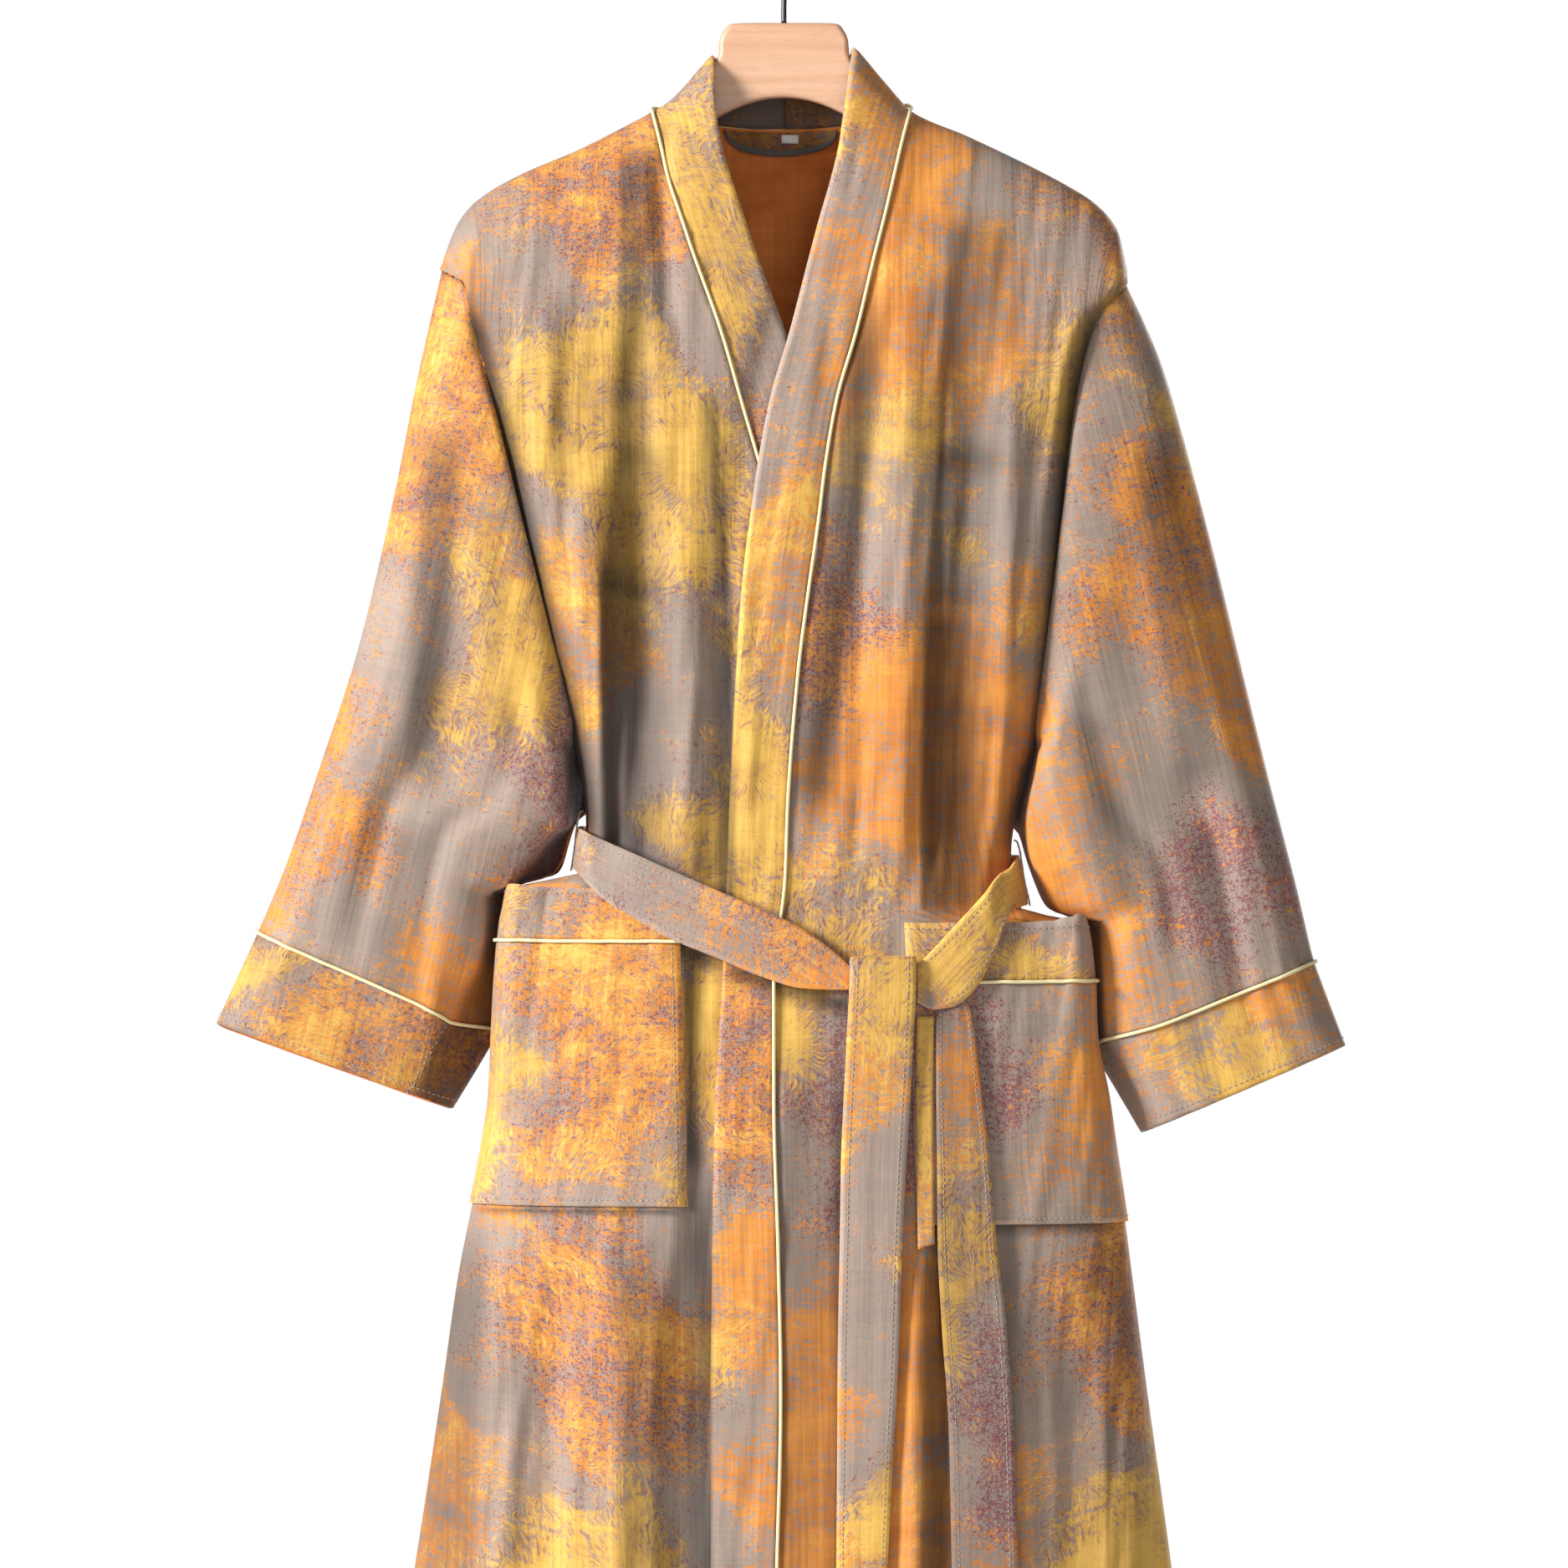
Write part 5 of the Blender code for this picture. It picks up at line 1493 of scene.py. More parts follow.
def begin(name, roughness, **sockets):
    """A new material's tree, and its shader with the values that are the same all over."""
    made = bpy.data.materials.new(name)
    made.use_nodes = True
    shader = made.node_tree.nodes["Principled BSDF"]
    shader.inputs["Roughness"].default_value = roughness
    for key, value in sockets.items():
        shader.inputs[key.replace("_", " ")].default_value = value
    return made.node_tree, shader


def cover(tree, shader, colour, height=None, strength=0.0, deep=0.0):
    """Gives a material its colour and, where it has some, its relief, which is that deep in metres."""
    tree.links.new(colour, shader.inputs["Base Color"])
    if height is not None:
        bump = add(tree, "ShaderNodeBump", {"Strength": strength, "Distance": deep, "Height": height})
        tree.links.new(bump.outputs[0], shader.inputs["Normal"])


def raised(tree, level, fields, shares):
    """A level with a share of each of some fields laid on it."""
    for name, share in shares.items():
        level = add(tree, "ShaderNodeMath", {0: fields[name], 1: share, 2: level},
                    operation="MULTIPLY_ADD").outputs[0]
    return level


def cloth_fields(tree, names):
    """The noises of the cloth, each on the map in metres stretched to its own size."""
    made = {"uv": add(tree, "ShaderNodeUVMap", uv_map="cloth").outputs[0]}
    for name in names:
        wide, high, detail, roughness, twist, shift = FIELDS[name]
        stretched = add(tree, "ShaderNodeMapping", {
            0: made["uv"], 1: (shift, shift * 1.7, shift), 3: (wide, high, 1.0)}).outputs[0]
        made[name] = add(tree, "ShaderNodeTexNoise", {
            "Vector": stretched, "Scale": 1.0, "Detail": detail, "Roughness": roughness, "Distortion": twist,
        }).outputs["Fac"]
    return made


def leaf_field(tree, uv):
    """Low along narrow leaves that fan upwards from scattered stems, high between them."""
    wander = add(tree, "ShaderNodeTexNoise", {"Vector": uv, "Scale": 30.0, "Detail": 2.0}).outputs["Color"]
    sway = add(tree, "ShaderNodeVectorMath", {0: wander, 1: (0.5, 0.5, 0.5)}, operation="SUBTRACT").outputs[0]
    bent = add(tree, "ShaderNodeVectorMath", {0: sway, 1: (LEAF_SWAY, LEAF_SWAY, 0.0), 2: uv},
               operation="MULTIPLY_ADD").outputs[0]
    stem = add(tree, "ShaderNodeTexVoronoi", {"Vector": bent, "Scale": STEMS, "Randomness": 0.9},
               voronoi_dimensions="2D").outputs["Position"]
    away = add(tree, "ShaderNodeVectorMath", {0: bent, 1: stem}, operation="SUBTRACT").outputs[0]
    away = add(tree, "ShaderNodeVectorMath", {0: away, 1: (0.0, STEM_ROOT, 0.0)},
               operation="SUBTRACT").outputs[0]
    parts = add(tree, "ShaderNodeSeparateXYZ", {0: away}).outputs
    turn = add(tree, "ShaderNodeMath", {0: parts[0], 1: parts[1]}, operation="ARCTAN2").outputs[0]
    reach = add(tree, "ShaderNodeVectorMath", {0: away}, operation="LENGTH").outputs["Value"]
    around = add(tree, "ShaderNodeMath", {0: turn, 1: LEAVES_AROUND}, operation="MULTIPLY").outputs[0]
    outwards = add(tree, "ShaderNodeMath", {0: reach, 1: LEAVES_OUT}, operation="MULTIPLY").outputs[0]
    fan = add(tree, "ShaderNodeCombineXYZ", {0: around, 1: outwards, 2: 0.0}).outputs[0]
    return add(tree, "ShaderNodeTexNoise", {
        "Vector": fan, "Scale": 1.0, "Detail": 1.5, "Roughness": 0.65, "Distortion": 0.5}).outputs["Fac"]


def jacquard(colours):
    """Cotton jacquard with a low lustre: matt ground yarn and pattern yarns that float a little over it."""
    tree, shader = begin(RIGHT_SIDE, 0.66, Sheen_Weight=0.10, Sheen_Roughness=0.45, Specular_IOR_Level=0.32)
    fields = cloth_fields(tree, FIELDS)
    leaf = leaf_field(tree, fields["uv"])
    fields["leaf"] = add(tree, "ShaderNodeMix", {0: 0.35, 2: leaf, 3: fields["plum"]}).outputs[0]
    for name in ("orange", "plum", "leaf"):
        fields[name] = add(tree, "ShaderNodeMath", {
            0: fields[name], 1: STIPPLE, 2: 0.5 - STIPPLE / 2}, operation="MULTIPLY_ADD").outputs[0]
    woven_and_painted_light = add(tree, "ShaderNodeAttribute", attribute_name="yarns_and_painted_light").outputs
    weights = add(tree, "ShaderNodeSeparateColor", {0: woven_and_painted_light["Color"]}).outputs
    shown = add(tree, "ShaderNodeMix", {
        0: fields["ragged"], 6: linear(colours.ground_dark), 7: linear(colours.ground)},
        data_type="RGBA").outputs[2]
    tone = raised(tree, fields["ragged"], fields, {"slub": 0.45})
    tone = add(tree, "ShaderNodeMapRange", {0: tone, 1: 0.52, 2: 0.90, 3: 0.0, 4: 1.0}).outputs[0]
    for name, (channel, field, ragged, streaked, lift, soft) in YARNS.items():
        density = raised(tree, weights[channel], fields, {"ragged": ragged, "streak": streaked})
        density = add(tree, "ShaderNodeMath", {0: density, 1: lift}, operation="ADD").outputs[0]
        over = add(tree, "ShaderNodeMath", {0: density, 1: fields[field]}, operation="SUBTRACT").outputs[0]
        mask = add(tree, "ShaderNodeMapRange", {0: over, 1: -soft, 2: soft, 3: 0.0, 4: 1.0},
                   interpolation_type="SMOOTHSTEP").outputs[0]
        light, dark = linear(getattr(colours, name)), linear(getattr(colours, name + "_dark"))
        yarn = add(tree, "ShaderNodeMix", {0: tone, 6: dark, 7: light}, data_type="RGBA").outputs[2]
        shown = add(tree, "ShaderNodeMix", {0: mask, 6: shown, 7: yarn}, data_type="RGBA").outputs[2]
    # threads and slubs lighten and darken the colour by a few per cent, and the painted shade and highlight
    # in the attribute's alpha scale it
    level = raised(tree, 0.73, fields, {"slub": 0.20, "weft": 0.22, "warp": 0.16})
    level = add(tree, "ShaderNodeMath", {0: level, 1: woven_and_painted_light["Alpha"]}, operation="MULTIPLY").outputs[0]
    shown = add(tree, "ShaderNodeMix", {0: 1.0, 6: shown, 7: level}, data_type="RGBA", blend_type="MULTIPLY")
    # the plain ground crinkles along the warp, over the slubs and the wefts
    wave = raised(tree, fields["slub"], fields, {"crinkle": 2.0, "weft": 0.3})
    cover(tree, shader, shown.outputs[2], wave, 0.4, 0.0008)


def jacquard_back(colours):
    """The wrong side of the jacquard, where the orange and plum yarns float: rust with a fine flat weave."""
    tree, shader = begin(WRONG_SIDE, 0.78, Sheen_Weight=0.1, Sheen_Roughness=0.5, Specular_IOR_Level=0.25)
    fields = cloth_fields(tree, ["ragged", "slub", "weft", "warp"])
    tone = add(tree, "ShaderNodeMapRange", {0: fields["ragged"], 1: 0.35, 2: 0.65, 3: 0.0, 4: 1.0}).outputs[0]
    base = add(tree, "ShaderNodeMix", {
        0: tone, 6: linear(colours.inside_dark), 7: linear(colours.inside)}, data_type="RGBA").outputs[2]
    level = raised(tree, 0.66, fields, {"slub": 0.2, "weft": 0.3, "warp": 0.25})
    shown = add(tree, "ShaderNodeMix", {0: 1.0, 6: base, 7: level}, data_type="RGBA", blend_type="MULTIPLY")
    cover(tree, shader, shown.outputs[2], fields["weft"], 0.4, 0.0005)


def twill(name, colour, shadow, roughness, pitch):
    """A narrow cotton tape with slanting ribs: piping, binding, thread or the label's satin."""
    tree, shader = begin(name, roughness, Sheen_Weight=0.12, Specular_IOR_Level=0.3)
    uv = add(tree, "ShaderNodeUVMap", uv_map="cloth").outputs[0]
    turned = add(tree, "ShaderNodeMapping", {0: uv, 2: (0.0, 0.0, 0.7)}).outputs[0]
    # Blender's wave has one rib in 0.314 of its scale; pitch is the real distance of the ribs in metres
    ribs = add(tree, "ShaderNodeTexWave", {
        "Vector": turned, "Scale": 0.314 / pitch, "Distortion": 0.6, "Detail": 1.0}).outputs["Fac"]
    dust = add(tree, "ShaderNodeTexNoise", {"Vector": uv, "Scale": 300.0, "Detail": 2.0}).outputs["Fac"]
    # the ribs' grooves take the shadow colour as painted shade, and the dust gives the rest a random tone
    share = raised(tree, 0.0, {"ribs": ribs, "dust": dust}, {"ribs": 0.5, "dust": 0.5})
    tone = add(tree, "ShaderNodeMix", {0: share, 6: linear(shadow), 7: linear(colour)}, data_type="RGBA")
    cover(tree, shader, tone.outputs[2], ribs, 0.3, 0.0002)


def beech(colours):
    """Steamed beech, sanded and given a satin lacquer: pinkish, with short fine flecks along the grain."""
    tree, shader = begin(BEECH, 0.42, Coat_Weight=0.12, Coat_Roughness=0.3)
    at = add(tree, "ShaderNodeTexCoord").outputs["Object"]
    # grain runs across the hanger; flecks 8 mm long and 0.6 mm high
    long = add(tree, "ShaderNodeMapping", {0: at, 3: (9.0, 60.0, 130.0)}).outputs[0]
    grain = add(tree, "ShaderNodeTexNoise", {
        "Vector": long, "Scale": 1.0, "Detail": 5.0, "Roughness": 0.6, "Distortion": 0.3}).outputs["Fac"]
    short = add(tree, "ShaderNodeMapping", {0: at, 3: (150.0, 900.0, 1600.0)}).outputs[0]
    flecks = add(tree, "ShaderNodeTexNoise", {"Vector": short, "Scale": 1.0, "Detail": 1.0}).outputs["Fac"]
    pale = add(tree, "ShaderNodeMapRange", {0: grain, 1: 0.35, 2: 0.65, 3: 0.0, 4: 1.0}).outputs[0]
    base = add(tree, "ShaderNodeMix", {
        0: pale, 6: linear(colours.wood_dark), 7: linear(colours.wood)}, data_type="RGBA").outputs[2]
    dark = add(tree, "ShaderNodeMapRange", {0: flecks, 1: 0.60, 2: 0.72, 3: 0.0, 4: 0.35}).outputs[0]
    base = add(tree, "ShaderNodeMix", {0: dark, 6: base, 7: linear(colours.wood_fleck)}, data_type="RGBA")
    cover(tree, shader, base.outputs[2], flecks, 0.12, 0.0002)


def dark_steel(colours):
    """Bent steel rod, blackened and oiled: dark grey with faint drawing marks."""
    tree, shader = begin(BLACK_STEEL, 0.34, Metallic=1.0)
    uv = add(tree, "ShaderNodeUVMap", uv_map="cloth").outputs[0]
    long = add(tree, "ShaderNodeMapping", {0: uv, 3: (2400.0, 60.0, 1.0)}).outputs[0]
    marks = add(tree, "ShaderNodeTexNoise", {"Vector": long, "Scale": 1.0, "Detail": 3.0}).outputs["Fac"]
    tone = add(tree, "ShaderNodeMix", {
        0: marks, 6: linear(colours.steel_dark), 7: linear(colours.steel)}, data_type="RGBA")
    cover(tree, shader, tone.outputs[2])
    gloss = add(tree, "ShaderNodeMapRange", {0: marks, 1: 0.3, 2: 0.7, 3: 0.28, 4: 0.42}).outputs[0]
    tree.links.new(gloss, shader.inputs["Roughness"])


def studio_matt(name, colour, roughness):
    """A matt studio surface with a faint mottle."""
    tree, shader = begin(name, roughness)
    at = add(tree, "ShaderNodeTexCoord").outputs["Object"]
    mottle = add(tree, "ShaderNodeTexNoise", {"Vector": at, "Scale": 3.0, "Detail": 2.0}).outputs["Fac"]
    tone = add(tree, "ShaderNodeMix", {0: mottle, 6: linear(colour), 7: linear("#F6F5F3")}, data_type="RGBA")
    cover(tree, shader, tone.outputs[2])


def metres(name, says, value):
    return bpy.props.FloatProperty(name=name, description=says, default=value, unit="LENGTH")


def watts(name, says, value):
    return bpy.props.FloatProperty(name=name, description=says, default=value, unit="POWER")


def srgb(name, says, value):
    return bpy.props.StringProperty(name=name, description=says, default=value)


class RobeCloth(bpy.types.PropertyGroup):
    """Sizes of the cloth and its seams."""

    cloth_wall: metres("Cloth", "Thickness of one cloth wall", CLOTH * MM)
    doubled_wall: metres("Cuffs", "Thickness of the doubled cuffs", DOUBLED * MM)
    collar_wall: metres("Collar", "Thickness of the folded collar band", COLLAR_WALL * MM)
    belt_wall: metres("Belt", "Thickness of the folded belt", BELT_WALL * MM)
    piping: metres("Piping", "Diameter of the corded piping", PIPING * MM)
    puff: metres("Puff", "How far collar and belt swell between their edges", 0.0009)
    pucker: metres("Pucker", "Height of the puckers beside the corded seams", 0.0007)


class RobeStitches(bpy.types.PropertyGroup):
    """Sizes of the topstitching."""

    length: metres("Length", "Length of one stitch that shows", 0.0030)
    pitch: metres("Pitch", "Distance from stitch to stitch", 0.0042)
    thickness: metres("Thread", "Thickness of the thread", 0.0007)


class RobeColours(bpy.types.PropertyGroup):
    """Colours in sRGB hex."""

    ground: srgb("Ground", "Taupe ground yarn in the light", "#A89789")
    ground_dark: srgb("Ground, dark", "Taupe ground yarn, greyer", "#85746B")
    orange: srgb("Orange", "Orange pattern yarn", "#DE9340")
    orange_dark: srgb("Orange, dark", "Rust tone of the orange yarn", "#BC6B28")
    yellow: srgb("Yellow", "Golden pattern yarn", "#DCB056")
    yellow_dark: srgb("Yellow, dark", "Olive tone of the golden yarn", "#B98A3A")
    plum: srgb("Plum", "Plum pattern yarn", "#8F565C")
    plum_dark: srgb("Plum, dark", "Wine tone of the plum yarn", "#6E3D45")
    inside: srgb("Inside", "Wrong side of the cloth", "#E88C42")
    inside_dark: srgb("Inside, dark", "Wrong side, darker", "#CB6E30")
    piping: srgb("Piping", "Cream cotton piping", "#F3E8B9")
    binding: srgb("Binding", "Grey tape round the neck facing", "#6E6763")
    thread: srgb("Thread", "Sewing thread", "#C9BDB0")
    wood: srgb("Wood", "Pale growth of the beech", "#DDB091")
    wood_dark: srgb("Wood, dark", "Darker growth of the beech", "#CF9E7B")
    wood_fleck: srgb("Wood flecks", "Short flecks of the beech", "#B98663")
    steel: srgb("Steel", "Hook where it is worn", "#5A5755")
    steel_dark: srgb("Steel, dark", "Hook where it is black", "#312F2E")


class RobeStage(bpy.types.PropertyGroup):
    """Camera and light."""

    distance: metres("Camera distance", "Camera to the plane of the hanger", 6.0)
    width: metres("Picture width", "Width seen at the plane of the hanger", 1.125)
    height: metres("Camera height", "Camera below the rail", -0.6207)
    key: watts("Key light", "Power of the large light at the left", 515.0)
    fill: watts("Fill light", "Power of the light at the right", 26.0)
    back: watts("Back light", "Power of the light behind the robe", 150.0)
    room: bpy.props.FloatProperty(name="Room light", description="Strength of the light from all round",
                                  default=0.15, min=0.0)


def puffed(grid, normal, height, stitch=0.12):
    """A folded band that swells between its edges and is drawn in along its stitching."""
    share = np.linspace(0, 1, grid.shape[1])
    swell = (1 - np.abs(2 * share - 1) ** 5) ** 0.5
    if stitch:
        swell -= 0.9 * (bell(share - stitch, 0.045) + bell(share - 1 + stitch, 0.045))
    return grid + normal * (height * swell)[None, :, None]


def puckers(count, spacing, seed):
    """Small uneven waves along a seam of that many points."""
    at = np.arange(count)
    phase = np.cumsum(1 + 0.35 * np.sin(at * 0.37 + seed) + 0.25 * np.sin(at * 0.113 + 2.1 * seed))
    return np.sin(phase * 2 * math.pi / spacing) * (0.7 + 0.3 * np.sin(at * 0.071 + seed))


def fading(count, reach):
    """1 at the first row of a grid, fading over that many rows."""
    return np.exp(-(np.arange(count) / reach))[:, None, None]


# Routes of the topstitching, which the pieces leave here for the stitches
STITCHED = {"belt": [], "pockets": [], "cuffs": [], "hem": []}


def line_along(grid, row, flip=False, closed=False):
    """A line along one row of a sheet, just over it."""
    return grid[row] + outward(grid, flip, closed)[row] * STITCH_LIFT


def lines_across(grid, shares, out=STITCH_LIFT, flip=False):
    """Lines down a strip at shares of its width, just over it."""
    normal = outward(grid, flip)
    found = []
    for share in shares:
        at = share * (grid.shape[1] - 1)
        low, part = int(at), at - int(at)
        line = grid[:, low] * (1 - part) + grid[:, min(low + 1, grid.shape[1] - 1)] * part
        found.append(line + normal[:, low] * out)
    return found


class ROBE_OT_finishes(bpy.types.Operator):
    """Makes every material"""

    bl_idname = "robe.finishes"
    bl_label = "Finishes"

    def execute(self, context):
        colours = context.scene.robe_colours
        jacquard(colours)
        jacquard_back(colours)
        twill(PIPING_TWILL, colours.piping, "#D9CB98", 0.7, 0.0012)
        twill(BINDING_TAPE, colours.binding, "#514B49", 0.8, 0.0012)
        twill(LABEL_SATIN, "#F4F3F0", "#DCDAD6", 0.4, 0.0008)
        twill(SEWING_THREAD, colours.thread, "#A2968A", 0.6, 0.0006)
        beech(colours)
        dark_steel(colours)
        studio_matt(FLOOR_MATT, "#E9E7E4", 0.9)
        return {"FINISHED"}


def armhole_shade(side, grid):
    """The shadow that gathers in the fold beside the sleeve."""
    down = -grid[..., 2]
    near = grid[..., 0] - read(SIDES, side, down)
    return 1 - ARMHOLE_DARK * between(down, *ARMHOLE_SPAN) * bell(near, ARMHOLE_WIDE[side])


def thinned(grid, wall):
    """The wall of a body panel, pressed thin at the points of the shoulders."""
    x, down = grid[..., 0], -grid[..., 2]
    near = [np.hypot(x - read(SIDES, side, top), down - top) for side, top in SHOULDER_DOWN.items()]
    full = ease((np.minimum(*near) - THIN_NEAR) / THIN_FADE)[..., None]
    return wall * (THIN_SHARE + (1 - THIN_SHARE) * full)


class ROBE_OT_panels(bpy.types.Operator):
    """Makes both fronts and the back"""

    bl_idname = "robe.panels"
    bl_label = "Fronts and back"

    def execute(self, context):
        wall = context.scene.robe_cloth.cloth_wall / MM
        made = []
        for side in SIDE_X:
            grid = front_grid(side)
            uv = panel_uv(grid, PANEL_START[side], -1 if side == "right" else 0)
            made.append(("front_" + side, grid, uv, armhole_shade(side, grid) * shadowed(grid, "front")))
        grid = back_grid()
        shade = armhole_shade("right", grid) * armhole_shade("left", grid) * shadowed(grid, "back")
        made.append(("back", grid, panel_uv(grid, BACK_START, grid.shape[1] // 2, -1), shade))
        for node, grid, uv, shade in made:
            piece = cloth(node, grid, thinned(grid, wall), shade=shade, uv=uv)
            STITCHED["hem"].append(line_along(grid, -4))
        return {"FINISHED"}


def sleeve_shade(rows, angles):
    """The sleeve darkens beside the armhole and where its under side turns away."""
    along = np.arange(len(rows))[:, None] / len(rows)
    under = (np.sin(np.radians(angles)) > 0) * ease((inward(angles) - UNDER_EDGE) / 0.1)
    low = ease((-rows[..., 2] - UNDER_FROM) / UNDER_FADE)
    return (1 - TOP_DARK * ease(1 - along / TOP_REACH)) * (1 - UNDER_DARK * under * low)


def cuff_shade(side, cuff):
    """Painted shade: the right cuff lies in the sleeve's shadow, and its under side is painted darker still.
    """
    shade = np.ones(cuff.shape[:2])
    if side == "right":
        shade = CUFF_LIGHT * shade - CUFF_DARK * ease((cuff_seam(cuff) + 1) / 3) * (cuff[..., 1] < 12)
    return shade


class ROBE_OT_sleeves(bpy.types.Operator):
    """Makes both sleeves with their cuffs and piping"""

    bl_idname = "robe.sleeves"
    bl_label = "Sleeves and cuffs"

    def execute(self, context):
        sizes = context.scene.robe_cloth
        pucker = sizes.pucker / MM
        for side in SIDE_X:
            flip = side == "left"
            rows, angles = sleeve_grid(side)
            cuff = cuff_grid(side, rows, angles)
            # the corded seam draws the sleeve and the cuff in a little
            wave, low = (puckers(len(angles), spacing, seed + flip)[None, :, None] * pucker
                         for spacing, seed in ((9, 1.0), (13, 3.0)))
            near, fade = fading(len(rows), 4.0)[::-1], fading(len(cuff), 6.0)
            rows = rows + outward(rows, flip, True) * wave * near
            cuff = cuff + outward(cuff, flip, True) * (wave * fade + low * (1 - fade))
            shade = sleeve_shade(rows, angles) * shadowed(rows, "sleeve_" + side)
            sleeve = cloth("sleeve_" + side, rows, sizes.cloth_wall / MM, closed=True, flip=flip, shade=shade,
                           uv=sleeve_uv(rows, side, SLEEVE_START[side]))
            band = cloth("cuff_" + side, cuff, sizes.doubled_wall / MM, closed=True, flip=flip,
                         inner=CUFF_INSIDE, shade=cuff_shade(side, cuff),
                         uv=sleeve_uv(cuff, side, CUFF_START[side]))
            around = np.roll(cuff[0], -1, axis=0) - np.roll(cuff[0], 1, axis=0)
            away = unit(np.cross(cuff[2] - cuff[0], around)) * (-1 if flip else 1)
            ring = (rows[-1] + cuff[0]) / 2 + away * (PIPING / 2 + SEAM)
            hem = line_along(cuff, -3, flip, True)
            STITCHED["cuffs"].append(np.concatenate([hem, hem[:1]]))
            if side == "right":
                front = cuff[:, cuff[0, :, 1] < 0]
                at = np.argmax(cuff_seam(front) > 0, axis=1)
                STITCHED["cuffs"].append(front[np.arange(len(cuff)), at] - (0.0, 0.5, 0.0))
            cord = tube("piping_cuff_" + side + "_cord", ring[::2], sizes.piping / MM / 2, PIPING_TWILL,
                        "piping_cuff_" + side, closed=True)
        return {"FINISHED"}


def lit(grid, rows, columns):
    """Folded edges, at these rows and columns of a grid, catch more light than the cloth beside them."""
    light = np.ones(grid.shape[:2])
    light[rows] = light[:, columns] = EDGE_LIGHT
    return light


class ROBE_OT_collar(bpy.types.Operator):
    """Makes the collar band of both sides and the piping in its seam"""

    bl_idname = "robe.collar"
    bl_label = "Collar"

    def execute(self, context):
        sizes = context.scene.robe_cloth
        routes = []
        for side in SIDE_X:
            flip = side == "right"
            grid = collar_grid(side)
            normal = outward(grid, flip)
            clear = np.full((len(grid), 1), PIPING / 2 + SEAM + PIPING_LIFT)
            clear[-NECK_ROWS:] += BACK_NECK_LIFT * ease(np.arange(NECK_ROWS) / NECK_RISE)[:, None]
            # the cord runs straight where the band waves
            level = np.ones(CORD_LEVEL) / CORD_LEVEL
            facing = [np.convolve(np.pad(part, CORD_LEVEL // 2, mode="edge"), level, mode="valid")
                      for part in normal[:, 0].T]
            routes.append(grid[:, 0] + np.stack(facing, axis=-1) * clear)
            share = np.linspace(0, 1, grid.shape[1])[None, :, None]
            wave = puckers(len(grid), 7, 2.0 + flip)[:, None, None] * (sizes.pucker / MM)
            wave = wave * np.exp(-share / PUCKER_REACH)
            wave[-NECK_PUCKER_ROWS:] *= NECK_PUCKER
            grid = puffed(grid, normal, sizes.puff / MM, stitch=0) + normal * wave
            shade = shadowed(grid, "front") * lit(grid, [], [-1])
            piece = cloth("collar_" + side, grid, sizes.collar_wall / MM, COLLAR_START[side], flip=flip,
                          shade=shade, finishes=(RIGHT_SIDE, RIGHT_SIDE), inner=COLLAR_INSIDE)
        right, left = routes
        route = np.concatenate([right[:-1], (right[-1:] + left[-1:]) / 2, left[-2::-1]])
        tube("piping_collar_cord", route, sizes.piping / MM / 2, PIPING_TWILL, "piping_collar")
        return {"FINISHED"}


class ROBE_OT_pockets(bpy.types.Operator):
    """Makes both pockets with their top bands and piping"""

    bl_idname = "robe.pockets"
    bl_label = "Pockets"

    def execute(self, context):
        sizes = context.scene.robe_cloth
        wall, clear = sizes.cloth_wall / MM, POCKET_CLEAR + CLOTH
        for side, pocket in POCKETS.items():
            band_start, bag_start = POCKET_STARTS[side]
            band = pocket_grid(side, pocket["top"], pocket["seam"] - SEAM / 2, clear, 10)
            bag = pocket_grid(side, pocket["seam"] + SEAM / 2, pocket["end"], clear, 44)
            wave = puckers(bag.shape[1], 7, 4.0)[None, :, None] * (sizes.pucker / MM)
            bag = bag + outward(bag) * wave * fading(len(bag), 4.0)
            top = cloth("pocket_band_" + side, band, wall, band_start, shade=lit(band, [0], [0, -1]))
            piece = cloth("pocket_" + side, bag, wall, bag_start, shade=lit(bag, [-1], [0, -1]))
            turn = 1 if side == "right" else -1
            low, edge = line_along(bag, -2)[::turn], lines_across(bag[:, ::turn], (0.975,), flip=turn < 0)[0]
            STITCHED["pockets"].append(np.concatenate([edge[1:-2], low[-3::-1]]))
            STITCHED["pockets"].append(line_along(band, 1))
            line = pocket_grid(side, pocket["seam"], pocket["end"], clear + PIPING / 2 + SEAM, 2)[0]
            cord = tube("piping_pocket_" + side + "_cord", line, sizes.piping / MM / 2, PIPING_TWILL,
                        "piping_pocket_" + side)
        return {"FINISHED"}


def crease_pair(share, ridge, trough):
    """A ridge and a trough side by side on a strip, each with its place, half width and height."""
    return sum(height * bell(share - middle, width) for middle, width, height in (ridge, trough))


def belt_creased(grid):
    """Soft folds along the belt where the knot gathers it."""
    share = np.linspace(0, 1, grid.shape[1])[None, :]
    step = np.arange(len(grid))[:, None]
    height = np.exp(-step / 22.0) * crease_pair(share, (0.32, 0.1, 1.0), (0.52, 0.1, -1.0))
    height = height + np.exp(-step[::-1] / 14.0) * crease_pair(share, (0.6, 0.12, 0.9), (0.36, 0.1, -0.9))
    height = height + 0.25 * np.sin(step * 0.21 + 3 * share) * np.sin(step * 0.047)
    return grid + outward(grid) * height[..., None]


def tail_creased(grid, middle):
    """Long soft folds of a hanging belt end, strongest under the knot."""
    share = np.linspace(0, 1, grid.shape[1])[None, :]
    step = np.arange(len(grid))[:, None] / len(grid)
    fade = 0.35 + 0.65 * np.exp(-step / 0.18)
    height = fade * crease_pair(share, (middle, 0.1, 0.7), (middle + 0.2, 0.09, -0.7))
    height = height + 0.3 * np.sin(step * 23 + 2.2 * share) * np.sin(step * 7.1)
    return grid + outward(grid) * height[..., None]


